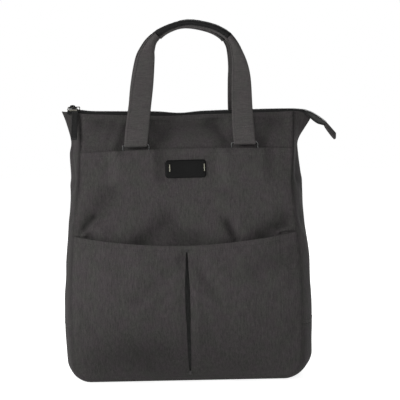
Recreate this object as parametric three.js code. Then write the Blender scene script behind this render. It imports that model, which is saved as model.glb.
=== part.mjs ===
import * as THREE from 'three';

// A soft cloth backpack shaped like a tote, standing on its base, with two upright carrying handles.
// Millimetres, Z up. The front faces -Y, and the origin is the middle of the base on the floor.

// Body
const hemHeight = 399;
const seamHalfWidth = 172;
const baseDepth = 116;
const mouthDepth = 22;
const seamLift = 8;
const cornerLeft = 22;
const cornerRight = 27;
const sideBulge = 16;
const frontCrown = 14;
const backCrown = 6;
const hemWave = 6;
const earRiseLeft = 3.5;
const earFallRight = 9.5;
const cloth = 1.6;
const gap = 0.3;
const bevelShare = 0.3;

// Seams and pocket hems, above the floor. The upper hem is measured down from the top.
const crossSeamHeight = 84;
const lowerHemHeight = 221;
const lowerHemSag = 15;
const lowerHemBand = 4.5;
const upperHemDrop = 54;
const upperHemHeight = hemHeight - upperHemDrop;
const upperHemRise = 3.5;

// Pockets
const lowerStand = 13;
const upperStand = 3;
const anchorStand = 9;
const anchorBumpHalf = 24;
const anchorBumpFade = 20;
const anchorBumpDrop = 59;
const hemFade = 12;
const foldDepth = 7;
const foldWidth = 15;
const slitPlace = 2.5;
const slitWidth = 8.5;
const slitBottom = 13;
const slitDrop = 20;
const slitTop = lowerHemHeight - slitDrop;
const pleatHalfWidth = 24;
const pleatDepth = 0.7;

// Patch
const patchPlace = 3;
const patchWidth = 59;
const patchHeight = 25;
const patchDrop = 27.7;
const patchMiddle = upperHemHeight - patchDrop;
const patchThickness = 1.8;
const patchRim = 0.6;
const barHeight = 12;
const barWidth = 1.6;
const barInset = 6;

// Handles
const ringRise = 11;
const ringTop = upperHemHeight + ringRise;
const handleRise = 181;
const handleTop = ringTop + handleRise;
const handleHalfSpan = 81;
const handleMiddle = 10.4;
const webbingWidth = 36;
const webbing = 2.2;
const gripDepth = 19;
const gripSpacing = 36;
const rearShift = -7;
const rearDrop = 2.5;
const foldBack = 27;
const ringWire = 3;
const wireCorner = 0.6;
const ringWidth = 42;
const ringHeight = 16;
const anchorWidth = 34;
const anchorLength = 27;

// Zip
const zipLeft = -177;
const zipRight = 182;
const zipRise = 5.5;
const tapeThickness = 1;
const tapeTuck = 9;
const tapeFoldPlace = 0.55;
const tapeFoldDrop = 0.4;
const chainWidth = 5;
const chainHeight = 3;
const sliderLength = 12;
const sliderDepth = 9;
const sliderHeight = 6.4;
const sliderInset = 2;
const bridgeDrop = 2.2;
const sliderWaist = 0.45;
const pullWire = 1.6;
const pullLoopWidth = 19.5;
const pullLoopShift = 1.85;
const pullLoopHeight = 12;
const pullSlope = THREE.MathUtils.degToRad(26);
const pullerWidth = 9;
const pullerShift = 4.3;
const pullerLength = 41;
const pullerThickness = 1.8;
const pullerStand = 8;
const tailReach = 46;
const tailSpread = 9;
const tabReach = 18;
const tabWall = 3.2;

// Shoulder straps, on the back
const strapWidth = 50;
const strapThickness = 7;
const strapBow = 20;
const strapDrop = 69;
const strapTop = hemHeight - strapDrop;
const strapFoot = 30;
const strapFootPlace = 140;

// Body sections from the bottom seam to the top hem. height is a share of hemHeight, left and right of
// seamHalfWidth, depth of the way from half the mouth to half the base, crownFront and crownBack of
// their crowns, bulgeLeft and bulgeRight of sideBulge, and ear of the way from a round side to a fold.
const SECTIONS = [
  { height: 0.02, left: 0.99, right: 0.98, depth: 0.95, crownFront: 0.05, crownBack: 0.1,
    bulgeLeft: 0.9, bulgeRight: 0.95, ear: 0 },
  { height: 0.15, left: 1.0, right: 0.985, depth: 1.0, crownFront: 0.65, crownBack: 0.7,
    bulgeLeft: 1.0, bulgeRight: 0.99, ear: 0 },
  { height: 0.3, left: 1.0, right: 0.985, depth: 1.0, crownFront: 1.0, crownBack: 1.0,
    bulgeLeft: 0.98, bulgeRight: 1.06, ear: 0 },
  { height: 0.4, left: 0.99, right: 0.98, depth: 0.985, crownFront: 1.0, crownBack: 1.0,
    bulgeLeft: 0.95, bulgeRight: 1.04, ear: 0 },
  { height: 0.53, left: 0.97, right: 0.962, depth: 0.94, crownFront: 0.85, crownBack: 0.95,
    bulgeLeft: 0.94, bulgeRight: 0.97, ear: 0 },
  { height: 0.65, left: 0.945, right: 0.942, depth: 0.85, crownFront: 0.65, crownBack: 0.85,
    bulgeLeft: 0.87, bulgeRight: 0.84, ear: 0.1 },
  { height: 0.74, left: 0.922, right: 0.93, depth: 0.76, crownFront: 0.5, crownBack: 0.7,
    bulgeLeft: 0.93, bulgeRight: 0.86, ear: 0.3 },
  { height: 0.775, left: 0.918, right: 0.935, depth: 0.71, crownFront: 0.45, crownBack: 0.62,
    bulgeLeft: 0.86, bulgeRight: 0.72, ear: 0.4 },
  { height: 0.865, left: 0.908, right: 0.953, depth: 0.585, crownFront: 0.38, crownBack: 0.5,
    bulgeLeft: 1.05, bulgeRight: 0.4, ear: 0.6 },
  { height: 0.905, left: 0.905, right: 0.957, depth: 0.45, crownFront: 0.38, crownBack: 0.4,
    bulgeLeft: 1.0, bulgeRight: 0.48, ear: 0.75 },
  { height: 0.95, left: 0.907, right: 0.96, depth: 0.24, crownFront: 0.25, crownBack: 0.2,
    bulgeLeft: 1.3, bulgeRight: 0.88, ear: 0.9 },
  { height: 1.0, left: 0.912, right: 0.965, depth: 0, crownFront: 0, crownBack: 0,
    bulgeLeft: 1.8, bulgeRight: 1.45, ear: 1 },
];

// How far the side cloth stands out between the front seam (across 0) and the back seam (across 1),
// as shares of its bulge: a round side, a sharp ear fold, and the flat base.
const PROFILE = [
  { across: 0, side: 0, ear: 0, base: 0 },
  { across: 0.05, side: 0.3, ear: 0.1, base: 0.74 },
  { across: 0.12, side: 0.56, ear: 0.24, base: 1 },
  { across: 0.25, side: 0.86, ear: 0.52, base: 1 },
  { across: 0.42, side: 1, ear: 1, base: 1 },
  { across: 0.58, side: 1, ear: 1, base: 1 },
  { across: 0.75, side: 0.86, ear: 0.52, base: 1 },
  { across: 0.88, side: 0.56, ear: 0.24, base: 1 },
  { across: 0.95, side: 0.3, ear: 0.1, base: 0.74 },
  { across: 1, side: 0, ear: 0, base: 0 },
];

// The top hems' height along the width, as shares of hemWave.
const HEM = [
  { across: 0, rise: 0.95 },
  { across: 0.08, rise: 0.65 },
  { across: 0.2, rise: 0.3 },
  { across: 0.4, rise: -0.15 },
  { across: 0.6, rise: 0 },
  { across: 0.85, rise: 0.1 },
  { across: 1, rise: 0.2 },
];

// The zip's height above the hem along its length, as shares of zipRise.
const ZIP_LINE = [
  { along: 0, rise: 1.95 },
  { along: 0.06, rise: 1.9 },
  { along: 0.18, rise: 1.5 },
  { along: 0.38, rise: 1.05 },
  { along: 0.475, rise: 0.5 },
  { along: 0.57, rise: 0.9 },
  { along: 0.8, rise: 1.0 },
  { along: 0.95, rise: 0.9 },
  { along: 1, rise: 0.6 },
];

// The zip tape's outer edge: spread is a share of half the mouth, drop of tapeTuck below the zip line.
const TAPE_EDGE = [
  { along: 0, spread: 0.42, drop: 0 },
  { along: 0.045, spread: 0.46, drop: 0.02 },
  { along: 0.085, spread: 0.97, drop: 0.8 },
  { along: 0.13, spread: 0.97, drop: 0.9 },
  { along: 0.9, spread: 0.97, drop: 0.9 },
  { along: 0.945, spread: 0.5, drop: 0.45 },
  { along: 1, spread: 0.42, drop: 0.45 },
];

// Dents pressed into the front panel and the upper pocket, each along a line. Places along X are shares
// of seamHalfWidth and heights shares of hemHeight, depth is a share of foldDepth and width of foldWidth.
const FRONT_FOLDS = [
  { fromX: -0.63, fromZ: 0.98, toX: -0.57, toZ: 0.91, depth: 0.6, width: 0.8 },
  { fromX: -0.26, fromZ: 0.98, toX: -0.25, toZ: 0.9, depth: 0.9, width: 0.9 },
  { fromX: 0.36, fromZ: 0.98, toX: 0.38, toZ: 0.9, depth: 0.8, width: 0.8 },
  { fromX: 0.68, fromZ: 0.97, toX: 0.67, toZ: 0.88, depth: 0.8, width: 0.8 },
  { fromX: -0.62, fromZ: 0.69, toX: -0.92, toZ: 0.57, depth: 1, width: 1 },
  { fromX: -0.14, fromZ: 0.61, toX: -0.36, toZ: 0.53, depth: 0.9, width: 1.2 },
  { fromX: 0.36, fromZ: 0.59, toX: 0.42, toZ: 0.53, depth: 0.6, width: 0.8 },
  { fromX: 0.74, fromZ: 0.6, toX: 0.9, toZ: 0.56, depth: 0.8, width: 0.9 },
];

// Dents pressed into the lower pocket, in the same terms.
const POCKET_FOLDS = [
  { fromX: -0.05, fromZ: 0.48, toX: -0.4, toZ: 0.33, depth: 0.35, width: 0.9 },
  { fromX: 0.08, fromZ: 0.46, toX: 0.24, toZ: 0.36, depth: 0.35, width: 0.9 },
  { fromX: 0.6, fromZ: 0.43, toX: 0.85, toZ: 0.47, depth: 0.4, width: 1 },
  { fromX: -0.7, fromZ: 0.1, toX: -0.2, toZ: 0.13, depth: 0.4, width: 1.6 },
];

// How far the lower pocket stands off the cloth behind it, as a share of lowerStand.
const LOWER_STAND = [
  { height: 0.02, stand: 0 },
  { height: 0.05, stand: 0.42 },
  { height: 0.105, stand: 0.62 },
  { height: 0.21, stand: 0.85 },
  { height: 0.38, stand: 1 },
  { height: 0.48, stand: 1 },
  { height: 0.56, stand: 0.85 },
];

// The same for the upper pocket, as a share of upperStand.
const UPPER_STAND = [
  { height: 0.02, stand: 0 },
  { height: 0.1, stand: 0.25 },
  { height: 0.55, stand: 0.4 },
  { height: 0.75, stand: 1 },
  { height: 0.88, stand: 1 },
];

// The slit's opening from its bottom to its top, as a share of slitWidth.
const SLIT = [
  { along: 0, open: 0 },
  { along: 0.12, open: 0.45 },
  { along: 0.3, open: 0.85 },
  { along: 0.5, open: 1 },
  { along: 0.68, open: 0.95 },
  { along: 0.85, open: 0.6 },
  { along: 1, open: 0 },
];

// The handle's middle line from the left ring over the grip to the right ring. x is a share of
// handleHalfSpan, z of the way from ringTop to handleTop, lean of the way from the rings' plane to the
// grip's. width is a share of webbingWidth, and thick is a share of gripDepth.
const HANDLE = [
  { x: -1.0, z: 0, lean: 0, width: 0.96, thick: 0.116 },
  { x: -0.973, z: 0.112, lean: 0.05, width: 0.965, thick: 0.116 },
  { x: -0.918, z: 0.308, lean: 0.27, width: 0.94, thick: 0.116 },
  { x: -0.86, z: 0.51, lean: 0.55, width: 0.91, thick: 0.14 },
  { x: -0.795, z: 0.705, lean: 0.8, width: 0.75, thick: 0.28 },
  { x: -0.735, z: 0.8, lean: 0.92, width: 0.53, thick: 0.55 },
  { x: -0.628, z: 0.878, lean: 1, width: 0.36, thick: 0.85 },
  { x: -0.388, z: 0.955, lean: 1, width: 0.29, thick: 1 },
  { x: -0.005, z: 1, lean: 1, width: 0.29, thick: 1 },
  { x: 0.427, z: 0.965, lean: 1, width: 0.29, thick: 1 },
  { x: 0.695, z: 0.903, lean: 1, width: 0.3, thick: 0.85 },
  { x: 0.827, z: 0.83, lean: 0.94, width: 0.35, thick: 0.6 },
  { x: 0.893, z: 0.75, lean: 0.86, width: 0.47, thick: 0.38 },
  { x: 0.948, z: 0.635, lean: 0.7, width: 0.66, thick: 0.2 },
  { x: 0.965, z: 0.51, lean: 0.55, width: 0.8, thick: 0.14 },
  { x: 0.967, z: 0.308, lean: 0.27, width: 0.86, thick: 0.116 },
  { x: 0.98, z: 0.112, lean: 0.05, width: 0.88, thick: 0.116 },
  { x: 1.0, z: 0, lean: 0, width: 0.9, thick: 0.116 },
];
const GRIP_START = 6;
const GRIP_END = 10;

// The zip's free end: reach is a share of tailReach, fall below the zip's end is a share of tailReach,
// spread and drape are shares of tailSpread.
const TAIL = [
  { reach: 0, fall: 0, spread: 0.5, drape: 0.6 },
  { reach: 0.25, fall: 0.098, spread: 0.85, drape: 0.75 },
  { reach: 0.45, fall: 0.226, spread: 1, drape: 0.82 },
  { reach: 0.64, fall: 0.375, spread: 1.05, drape: 0.8 },
  { reach: 1.03, fall: 0.71, spread: 1.15, drape: 0.85 },
];

// The shoulder strap's middle line from its top to its foot. place is a share of strapFootPlace, height
// of the way from strapFoot to strapTop, bow of strapBow, width of strapWidth, thick of strapThickness.
const STRAP = [
  { place: 0.25, height: 1, bow: 0, width: 0.88, thick: 0.5 },
  { place: 0.26, height: 0.95, bow: 0.15, width: 0.92, thick: 0.9 },
  { place: 0.29, height: 0.84, bow: 0.6, width: 1, thick: 1 },
  { place: 0.37, height: 0.7, bow: 0.95, width: 1, thick: 1 },
  { place: 0.46, height: 0.55, bow: 1, width: 1, thick: 1 },
  { place: 0.58, height: 0.4, bow: 0.8, width: 0.96, thick: 1 },
  { place: 0.7, height: 0.28, bow: 0.5, width: 0.84, thick: 0.85 },
  { place: 0.82, height: 0.17, bow: 0.25, width: 0.56, thick: 0.45 },
  { place: 0.93, height: 0.07, bow: 0.1, width: 0.52, thick: 0.4 },
  { place: 1, height: 0, bow: 0, width: 0.52, thick: 0.4 },
];

// Mesh resolution
const CORNER_STEPS = 5;
const PANEL_COLUMNS = 16;
const BACK_COLUMNS = 8;
const BASE_COLUMNS = 11;
const TAPE_STEPS = 14;
const FOLD_STEPS = 4;
const GRIP_SIDES = 10;
const WIRE_SIDES = 6;
const CHAIN_SIDES = 8;
const GRIP_STEPS = 12;
const LEG_STEPS = 10;
const CURVE_STEPS = 5;
const TAIL_STEPS = 5;
const TAIL_PLACES = [-1, -0.4, 0, 0.4, 1];
const PLEAT_PLACES = [-1, -0.55, 0, 0.55, 1];

// Where the bars' middles and ends are on the patch, as shares of its width and height, and the patch's
// rows and columns, which pass through them
const barAlong = 0.5 - barInset / patchWidth;
const barUp = barHeight / 2 / patchHeight;
const PATCH_UP = [-0.5, -0.42, -barUp, 0, barUp, 0.42, 0.5];
const PATCH_ALONG = [-0.5, -0.45, -barAlong, -0.15, 0.15, barAlong, 0.45, 0.5];

// Shapes of curves: the powers of the bows across the panels, and of the tail's fold
const CROWN_POWER = 2.4;
const STAND_POWER = 4;
const SAG_POWER = 1.8;
const HELD_POWER = 12;
const TAIL_POWER = 1.3;
const WELD = 1e-3;

const MATERIALS = {
  fabric: { color: 0x4a4846, roughness: 0.95, metalness: 0 },
  webbing: { color: 0x4c4947, roughness: 0.95, metalness: 0 },
  leather: { color: 0x141414, roughness: 0.55, metalness: 0 },
  zip: { color: 0x1a1a1a, roughness: 0.8, metalness: 0 },
  metal: { color: 0xb8b8b4, roughness: 0.3, metalness: 1 },
  dark_metal: { color: 0x3a3a3a, roughness: 0.35, metalness: 1 },
};

const bag = new THREE.Group();

const mix = (a, b, share) => a + (b - a) * share;
const clamp = (value) => Math.min(1, Math.max(0, value));
const smooth = (share) => clamp(share) ** 2 * (3 - 2 * clamp(share));
const steps = (from, to, count) => Array.from({ length: count }, (_, i) => mix(from, to, (i + 1) / count));

// The value of a table's column between its rows, on a smooth curve.
function column(table, key, at, by) {
  const last = table.length - 1;
  let low = 0;
  while (low < last - 1 && table[low + 1][by] <= at) low += 1;
  const a = table[low];
  const b = table[low + 1];
  const before = table[Math.max(low - 1, 0)];
  const after = table[Math.min(low + 2, last)];
  const span = b[by] - a[by];
  const t = clamp((at - a[by]) / span);
  const slopeA = ((b[key] - before[key]) / (b[by] - before[by])) * span;
  const slopeB = ((after[key] - a[key]) / (after[by] - a[by])) * span;
  return (2 * t ** 3 - 3 * t ** 2 + 1) * a[key] + (t ** 3 - 2 * t ** 2 + t) * slopeA
    + (3 * t ** 2 - 2 * t ** 3) * b[key] + (t ** 3 - t ** 2) * slopeB;
}

// A solid from a list of triangles, turned so that its faces point out.
function solid(triangles) {
  const kept = triangles.filter(([a, b, c]) => a.distanceTo(b) > WELD && b.distanceTo(c) > WELD
    && c.distanceTo(a) > WELD);
  const volume = kept.reduce((sum, [a, b, c]) => sum + a.dot(b.clone().cross(c)), 0);
  const positions = kept.flatMap(([a, b, c]) => (volume > 0 ? [a, b, c] : [a, c, b]))
    .flatMap((point) => point.toArray());
  const geometry = new THREE.BufferGeometry();
  geometry.setAttribute('position', new THREE.Float32BufferAttribute(positions, 3));
  geometry.computeVertexNormals();
  return geometry;
}

const quad = (a, b, c, d) => [[a, b, c], [a, c, d]];

function add(name, geometry, material) {
  const mesh = new THREE.Mesh(geometry, new THREE.MeshStandardMaterial(MATERIALS[material]));
  mesh.name = name;
  bag.add(mesh);
  return mesh;
}

// The triangles of a sheet between an outer and an inner grid of points. skipWall leaves a side open.
function sheetTriangles(outer, inner, skipWall = {}) {
  const rowsLast = outer.length - 1;
  const colsLast = outer[0].length - 1;
  const triangles = [];
  for (let i = 0; i < rowsLast; i += 1) {
    for (let j = 0; j < colsLast; j += 1) {
      triangles.push(...quad(outer[i][j], outer[i][j + 1], outer[i + 1][j + 1], outer[i + 1][j]));
      triangles.push(...quad(inner[i][j], inner[i + 1][j], inner[i + 1][j + 1], inner[i][j + 1]));
    }
  }
  for (let j = 0; j < colsLast; j += 1) {
    triangles.push(...quad(outer[0][j], inner[0][j], inner[0][j + 1], outer[0][j + 1]));
    triangles.push(...quad(outer[rowsLast][j], outer[rowsLast][j + 1], inner[rowsLast][j + 1],
      inner[rowsLast][j]));
  }
  for (let i = 0; i < rowsLast; i += 1) {
    if (!skipWall.first?.(i)) {
      triangles.push(...quad(outer[i][0], outer[i + 1][0], inner[i + 1][0], inner[i][0]));
    }
    if (!skipWall.last?.(i)) {
      triangles.push(...quad(outer[i][colsLast], inner[i][colsLast], inner[i + 1][colsLast],
        outer[i + 1][colsLast]));
    }
  }
  return triangles;
}

const shifted = (grid, offset) => grid.map((row) => row.map((point) => point.clone().add(offset)));

// A grid set back by a thickness across its own surface, on the side of a point.
function setBack(grid, thickness, towards) {
  const rowsLast = grid.length - 1;
  const colsLast = grid[0].length - 1;
  return grid.map((row, i) => row.map((point, j) => {
    const along = grid[Math.min(i + 1, rowsLast)][j].clone().sub(grid[Math.max(i - 1, 0)][j]);
    const across = row[Math.min(j + 1, colsLast)].clone().sub(row[Math.max(j - 1, 0)]);
    const normal = along.cross(across).normalize();
    const sign = normal.dot(towards.clone().sub(point)) > 0 ? 1 : -1;
    return point.clone().addScaledVector(normal, sign * thickness);
  }));
}

// A closed solid through a list of section outlines with flat ends, or round in a loop.
function loft(outlines, looped = false) {
  const triangles = [];
  const sides = outlines[0].length;
  const count = looped ? outlines.length : outlines.length - 1;
  for (let i = 0; i < count; i += 1) {
    const from = outlines[i];
    const to = outlines[(i + 1) % outlines.length];
    for (let j = 0; j < sides; j += 1) {
      const next = (j + 1) % sides;
      triangles.push(...quad(from[j], from[next], to[next], to[j]));
    }
  }
  if (!looped) {
    const end = outlines[outlines.length - 1];
    for (let j = 1; j < sides - 1; j += 1) {
      triangles.push([outlines[0][0], outlines[0][j + 1], outlines[0][j]]);
      triangles.push([end[0], end[j], end[j + 1]]);
    }
  }
  return solid(triangles);
}

// A flat strip's section: a rectangle with small chamfers.
function stripOutline({ centre, widthWay, thickWay, width, thick }) {
  const bevel = bevelShare * Math.min(width, thick);
  const corners = [
    [width / 2, thick / 2 - bevel], [width / 2 - bevel, thick / 2],
    [bevel - width / 2, thick / 2], [-width / 2, thick / 2 - bevel],
    [-width / 2, bevel - thick / 2], [bevel - width / 2, -thick / 2],
    [width / 2 - bevel, -thick / 2], [width / 2, bevel - thick / 2],
  ];
  return corners.map(([w, t]) => centre.clone().addScaledVector(widthWay, w).addScaledVector(thickWay, t));
}

function roundOutline({ centre, widthWay, thickWay, width, thick }, sides) {
  return Array.from({ length: sides }, (_, k) => {
    const turn = (2 * Math.PI * (k + 0.5)) / sides;
    return centre.clone().addScaledVector(widthWay, (width / 2) * Math.cos(turn))
      .addScaledVector(thickWay, (thick / 2) * Math.sin(turn));
  });
}

// Rows of heights that every panel shares, so that layers lie face to face.
const cornerTop = seamLift + Math.max(cornerLeft, cornerRight);
const cornerRows = Array.from({ length: CORNER_STEPS }, (_, k) => (
  seamLift + (cornerTop - seamLift) * (1 - Math.cos((k * Math.PI) / (2 * CORNER_STEPS)))));
const rowHeights = [
  ...cornerRows, cornerTop,
  ...steps(cornerTop, crossSeamHeight, 2),
  ...steps(crossSeamHeight, lowerHemHeight, 6),
  ...steps(lowerHemHeight, upperHemHeight, 6),
  ...steps(upperHemHeight, hemHeight, 5),
];

function cornerInset(height, radius) {
  const rise = Math.min(1, (height - seamLift) / radius);
  return radius * (1 - Math.sqrt(Math.max(0, 1 - (1 - rise) ** 2)));
}

const section = (key, height) => column(SECTIONS, key, height / hemHeight, 'height');
const leftSeam = (height) => -seamHalfWidth * section('left', height) + cornerInset(height, cornerLeft);
const rightSeam = (height) => seamHalfWidth * section('right', height) - cornerInset(height, cornerRight);
const halfDepth = (height) => mix(mouthDepth, baseDepth, section('depth', height)) / 2;
const crownShape = (across) => 1 - Math.abs(2 * across - 1) ** CROWN_POWER;
const acrossAt = (x, height) => clamp((x - leftSeam(height)) / (rightSeam(height) - leftSeam(height)));

// The top hem's wave, which fades out down to the upper pocket's hem.
function hemLift(across, height) {
  return hemWave * column(HEM, 'rise', across, 'across')
    * smooth((height - upperHemHeight) / (hemHeight - upperHemHeight));
}

function dents(folds, x, z) {
  return folds.reduce((sum, fold) => {
    const from = new THREE.Vector2(fold.fromX * seamHalfWidth, fold.fromZ * hemHeight);
    const to = new THREE.Vector2(fold.toX * seamHalfWidth, fold.toZ * hemHeight);
    const here = new THREE.Vector2(x, z);
    const line = to.clone().sub(from);
    const share = clamp(here.clone().sub(from).dot(line) / line.lengthSq());
    const distance = here.distanceTo(from.addScaledVector(line, share));
    return sum + foldDepth * fold.depth * Math.exp(-((distance / (foldWidth * fold.width)) ** 2));
  }, 0);
}

// A dent fades out at the seams, where the cloth is held.
const heldAtSeams = (across) => 1 - Math.abs(2 * across - 1) ** HELD_POWER;

// Where the upper pocket stands off the ring anchors behind it: 1 over an anchor, 0 away from it.
function anchorBump(x, height) {
  const middles = [handleMiddle - handleHalfSpan, handleMiddle + handleHalfSpan];
  const start = upperHemHeight - anchorBumpDrop;
  return middles.reduce((sum, middle) => {
    const beyond = (Math.abs(x - middle) - anchorBumpHalf) / anchorBumpFade;
    return sum + (1 - smooth(beyond)) * smooth((height - start) / anchorLength);
  }, 0);
}

// The outer face of the cloth on the front, layer by layer outwards from the side seams.
function frontPoint(across, height, layer, stand = 0) {
  const x = mix(leftSeam(height), rightSeam(height), across);
  const held = heldAtSeams(across) * smooth((hemHeight - height) / hemFade);
  const depth = halfDepth(height) + layer * (cloth + gap) + stand
    + frontCrown * section('crownFront', height) * crownShape(across);
  return new THREE.Vector3(x, dents(FRONT_FOLDS, x, height) * held - depth,
    height + hemLift(across, height));
}

function backPoint(across, height) {
  const x = mix(leftSeam(height), rightSeam(height), across);
  const depth = halfDepth(height) + cloth + gap
    + backCrown * section('crownBack', height) * crownShape(across);
  return new THREE.Vector3(x, depth, height + hemLift(across, height));
}

const standShape = (across) => 1 - Math.abs(2 * across - 1) ** STAND_POWER;
const alongWidth = (count) => [0, ...steps(0, 1, count)];
const inwards = new THREE.Vector3(0, cloth, 0);
const outwards = new THREE.Vector3(0, -cloth, 0);

function frontPanel() {
  const outer = rowHeights.map((height) => alongWidth(PANEL_COLUMNS)
    .map((across) => frontPoint(across, height, 1)));
  add('front_panel', solid(sheetTriangles(outer, shifted(outer, inwards))), 'fabric');
}

function backPanel() {
  const outer = rowHeights.map((height) => alongWidth(BACK_COLUMNS)
    .map((across) => backPoint(across, height)));
  add('back_panel', solid(sheetTriangles(outer, shifted(outer, outwards))), 'fabric');
}

function upperPocketPoint(across, rowHeight) {
  const arch = upperHemRise * (1 - Math.abs(2 * across - 1) ** 2)
    * smooth((rowHeight - lowerHemHeight) / (upperHemHeight - lowerHemHeight));
  const height = rowHeight + arch;
  const x = mix(leftSeam(height), rightSeam(height), across);
  const stand = upperStand * column(UPPER_STAND, 'stand', height / hemHeight, 'height') * standShape(across)
    + anchorStand * anchorBump(x, height);
  return frontPoint(across, height, 2, stand);
}

const upperRows = rowHeights.filter((height) => height <= upperHemHeight + gap);
const upperGrid = upperRows.map((height) => alongWidth(PANEL_COLUMNS)
  .map((across) => upperPocketPoint(across, height)));

function upperPocket() {
  add('upper_pocket', solid(sheetTriangles(upperGrid, shifted(upperGrid, inwards))), 'fabric');
}

// The lower pocket's outer face. Its rows sag towards the hem, and the dents behind it don't reach it.
function lowerPocketPoint(across, rowHeight) {
  const sag = lowerHemSag * (1 - Math.abs(2 * across - 1) ** SAG_POWER)
    * smooth((rowHeight - slitBottom) / (lowerHemHeight - slitBottom));
  const height = rowHeight - sag;
  const x = mix(leftSeam(height), rightSeam(height), across);
  const stand = lowerStand * column(LOWER_STAND, 'stand', height / hemHeight, 'height') * standShape(across);
  const held = heldAtSeams(across) * smooth((height - seamLift) / foldWidth);
  const y = dents(POCKET_FOLDS, x, height) * held - halfDepth(height) - stand
    - 3 * (cloth + gap) - frontCrown * section('crownFront', height) * crownShape(across);
  return new THREE.Vector3(x, y, height);
}

function slitHalfWidth(height) {
  const along = (height - slitBottom) / (slitTop - slitBottom);
  if (along <= 0 || along >= 1) return 0;
  return (slitWidth / 2) * column(SLIT, 'open', along, 'along');
}

// The lower pocket's two halves meet at the slit, and above and below it they are one cloth.
function lowerPocket() {
  const below = rowHeights.filter((height) => height < lowerHemHeight - lowerHemBand - gap);
  const heights = [...below, lowerHemHeight - lowerHemBand, lowerHemHeight];
  const half = PANEL_COLUMNS / 2;
  const slitRow = (height) => {
    const middle = acrossAt(slitPlace, height);
    const point = lowerPocketPoint(middle, height);
    return { middle, opening: slitHalfWidth(point.z) / (rightSeam(height) - leftSeam(height)) };
  };
  const side = (height, from, to) => [from, ...steps(from, to, half)]
    .map((across) => lowerPocketPoint(across, height));
  const left = heights.map((height) => side(height, 0, slitRow(height).middle - slitRow(height).opening));
  const right = heights.map((height) => side(height, slitRow(height).middle + slitRow(height).opening, 1));
  const closed = (i) => slitRow(heights[i]).opening === 0 && slitRow(heights[i + 1]).opening === 0;
  add('lower_pocket', solid([
    ...sheetTriangles(left, shifted(left, inwards), { last: closed }),
    ...sheetTriangles(right, shifted(right, inwards), { first: closed }),
  ]), 'fabric');
}

// The cloth behind the slit, joined to the pocket at both edges and set back in the middle.
function pleatUnderlay() {
  const heights = rowHeights
    .filter((height) => height > slitBottom + cloth && height <= lowerHemHeight - gap);
  const outer = heights.map((height) => {
    const stand = lowerStand * column(LOWER_STAND, 'stand', height / hemHeight, 'height');
    const room = stand - 2 * cloth - 3 * gap;
    return PLEAT_PLACES.map((share) => {
      const across = acrossAt(slitPlace + share * pleatHalfWidth, height);
      const point = lowerPocketPoint(across, height);
      point.y += cloth + gap + Math.max(0, room) * pleatDepth * (1 - Math.abs(share));
      return point;
    });
  });
  add('pleat_underlay', solid(sheetTriangles(outer, shifted(outer, inwards))), 'fabric');
}

// A row of the side cloth: where its seam is, which way it stands out there, and how far.
function sideStation(side, height) {
  const radius = side < 0 ? cornerLeft : cornerRight;
  const seam = side < 0 ? leftSeam(height) : rightSeam(height);
  const round = clamp((height - seamLift) / radius);
  const turn = Math.asin(1 - round);
  const across = side < 0 ? 0 : 1;
  const bulge = sideBulge * section(side < 0 ? 'bulgeLeft' : 'bulgeRight', height);
  const top = smooth((height - upperHemHeight) / (hemHeight - upperHemHeight));
  return {
    seam: new THREE.Vector3(seam, 0, height + hemLift(across, height)),
    out: new THREE.Vector3(side * Math.cos(turn), 0, -Math.sin(turn)),
    bulge: mix(seamLift, bulge, smooth(round)),
    depth: halfDepth(height),
    base: 1 - smooth(round),
    ear: section('ear', height),
    rise: (side < 0 ? earRiseLeft : -earFallRight) * top,
  };
}

function baseStation(across) {
  return {
    seam: new THREE.Vector3(mix(leftSeam(seamLift), rightSeam(seamLift), across), 0, seamLift),
    out: new THREE.Vector3(0, 0, -1),
    bulge: seamLift,
    depth: halfDepth(seamLift),
    base: 1,
    ear: 0,
    rise: 0,
  };
}

function stripRow(station) {
  return PROFILE.map((place) => {
    const side = mix(place.side, place.ear, station.ear);
    const shape = mix(side, place.base, station.base);
    const point = station.seam.clone().addScaledVector(station.out, station.bulge * shape);
    point.y = station.depth * (2 * place.across - 1);
    point.z += station.rise * side;
    return point;
  });
}

const bagMiddle = new THREE.Vector3(0, 0, hemHeight / 2);

function clothStrip(name, stations) {
  const outer = stations.map(stripRow);
  add(name, solid(sheetTriangles(outer, setBack(outer, cloth, bagMiddle))), 'fabric');
}

function sideGusset(name, side) {
  const heights = rowHeights.filter((height) => height > crossSeamHeight + gap);
  clothStrip(name, [crossSeamHeight + gap / 2, ...heights].map((height) => sideStation(side, height)));
}

function baseStrip() {
  const heights = rowHeights.filter((height) => height < crossSeamHeight - gap);
  const up = [...heights, crossSeamHeight - gap / 2];
  clothStrip('base_strip', [
    ...[...up].reverse().map((height) => sideStation(-1, height)),
    ...steps(0, 1, BASE_COLUMNS).slice(0, -1).map(baseStation),
    ...up.map((height) => sideStation(1, height)),
  ]);
}

// A point on the upper pocket's facets, lifted off them. The height is the pocket's row, before its arch.
function patchPoint(x, rowHeight, lift) {
  const i = upperRows.findLastIndex((height) => height <= rowHeight);
  const at = acrossAt(x, rowHeight) * PANEL_COLUMNS;
  const j = Math.floor(at);
  const u = at - j;
  const v = (rowHeight - upperRows[i]) / (upperRows[i + 1] - upperRows[i]);
  const corner = u > v ? upperGrid[i][j + 1] : upperGrid[i + 1][j];
  const [toCorner, beyond] = u > v ? [u - v, v] : [v - u, u];
  const point = upperGrid[i][j].clone().multiplyScalar(1 - toCorner - beyond)
    .addScaledVector(corner, toCorner).addScaledVector(upperGrid[i + 1][j + 1], beyond);
  return new THREE.Vector3(x, point.y - gap - lift, point.z);
}

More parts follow.
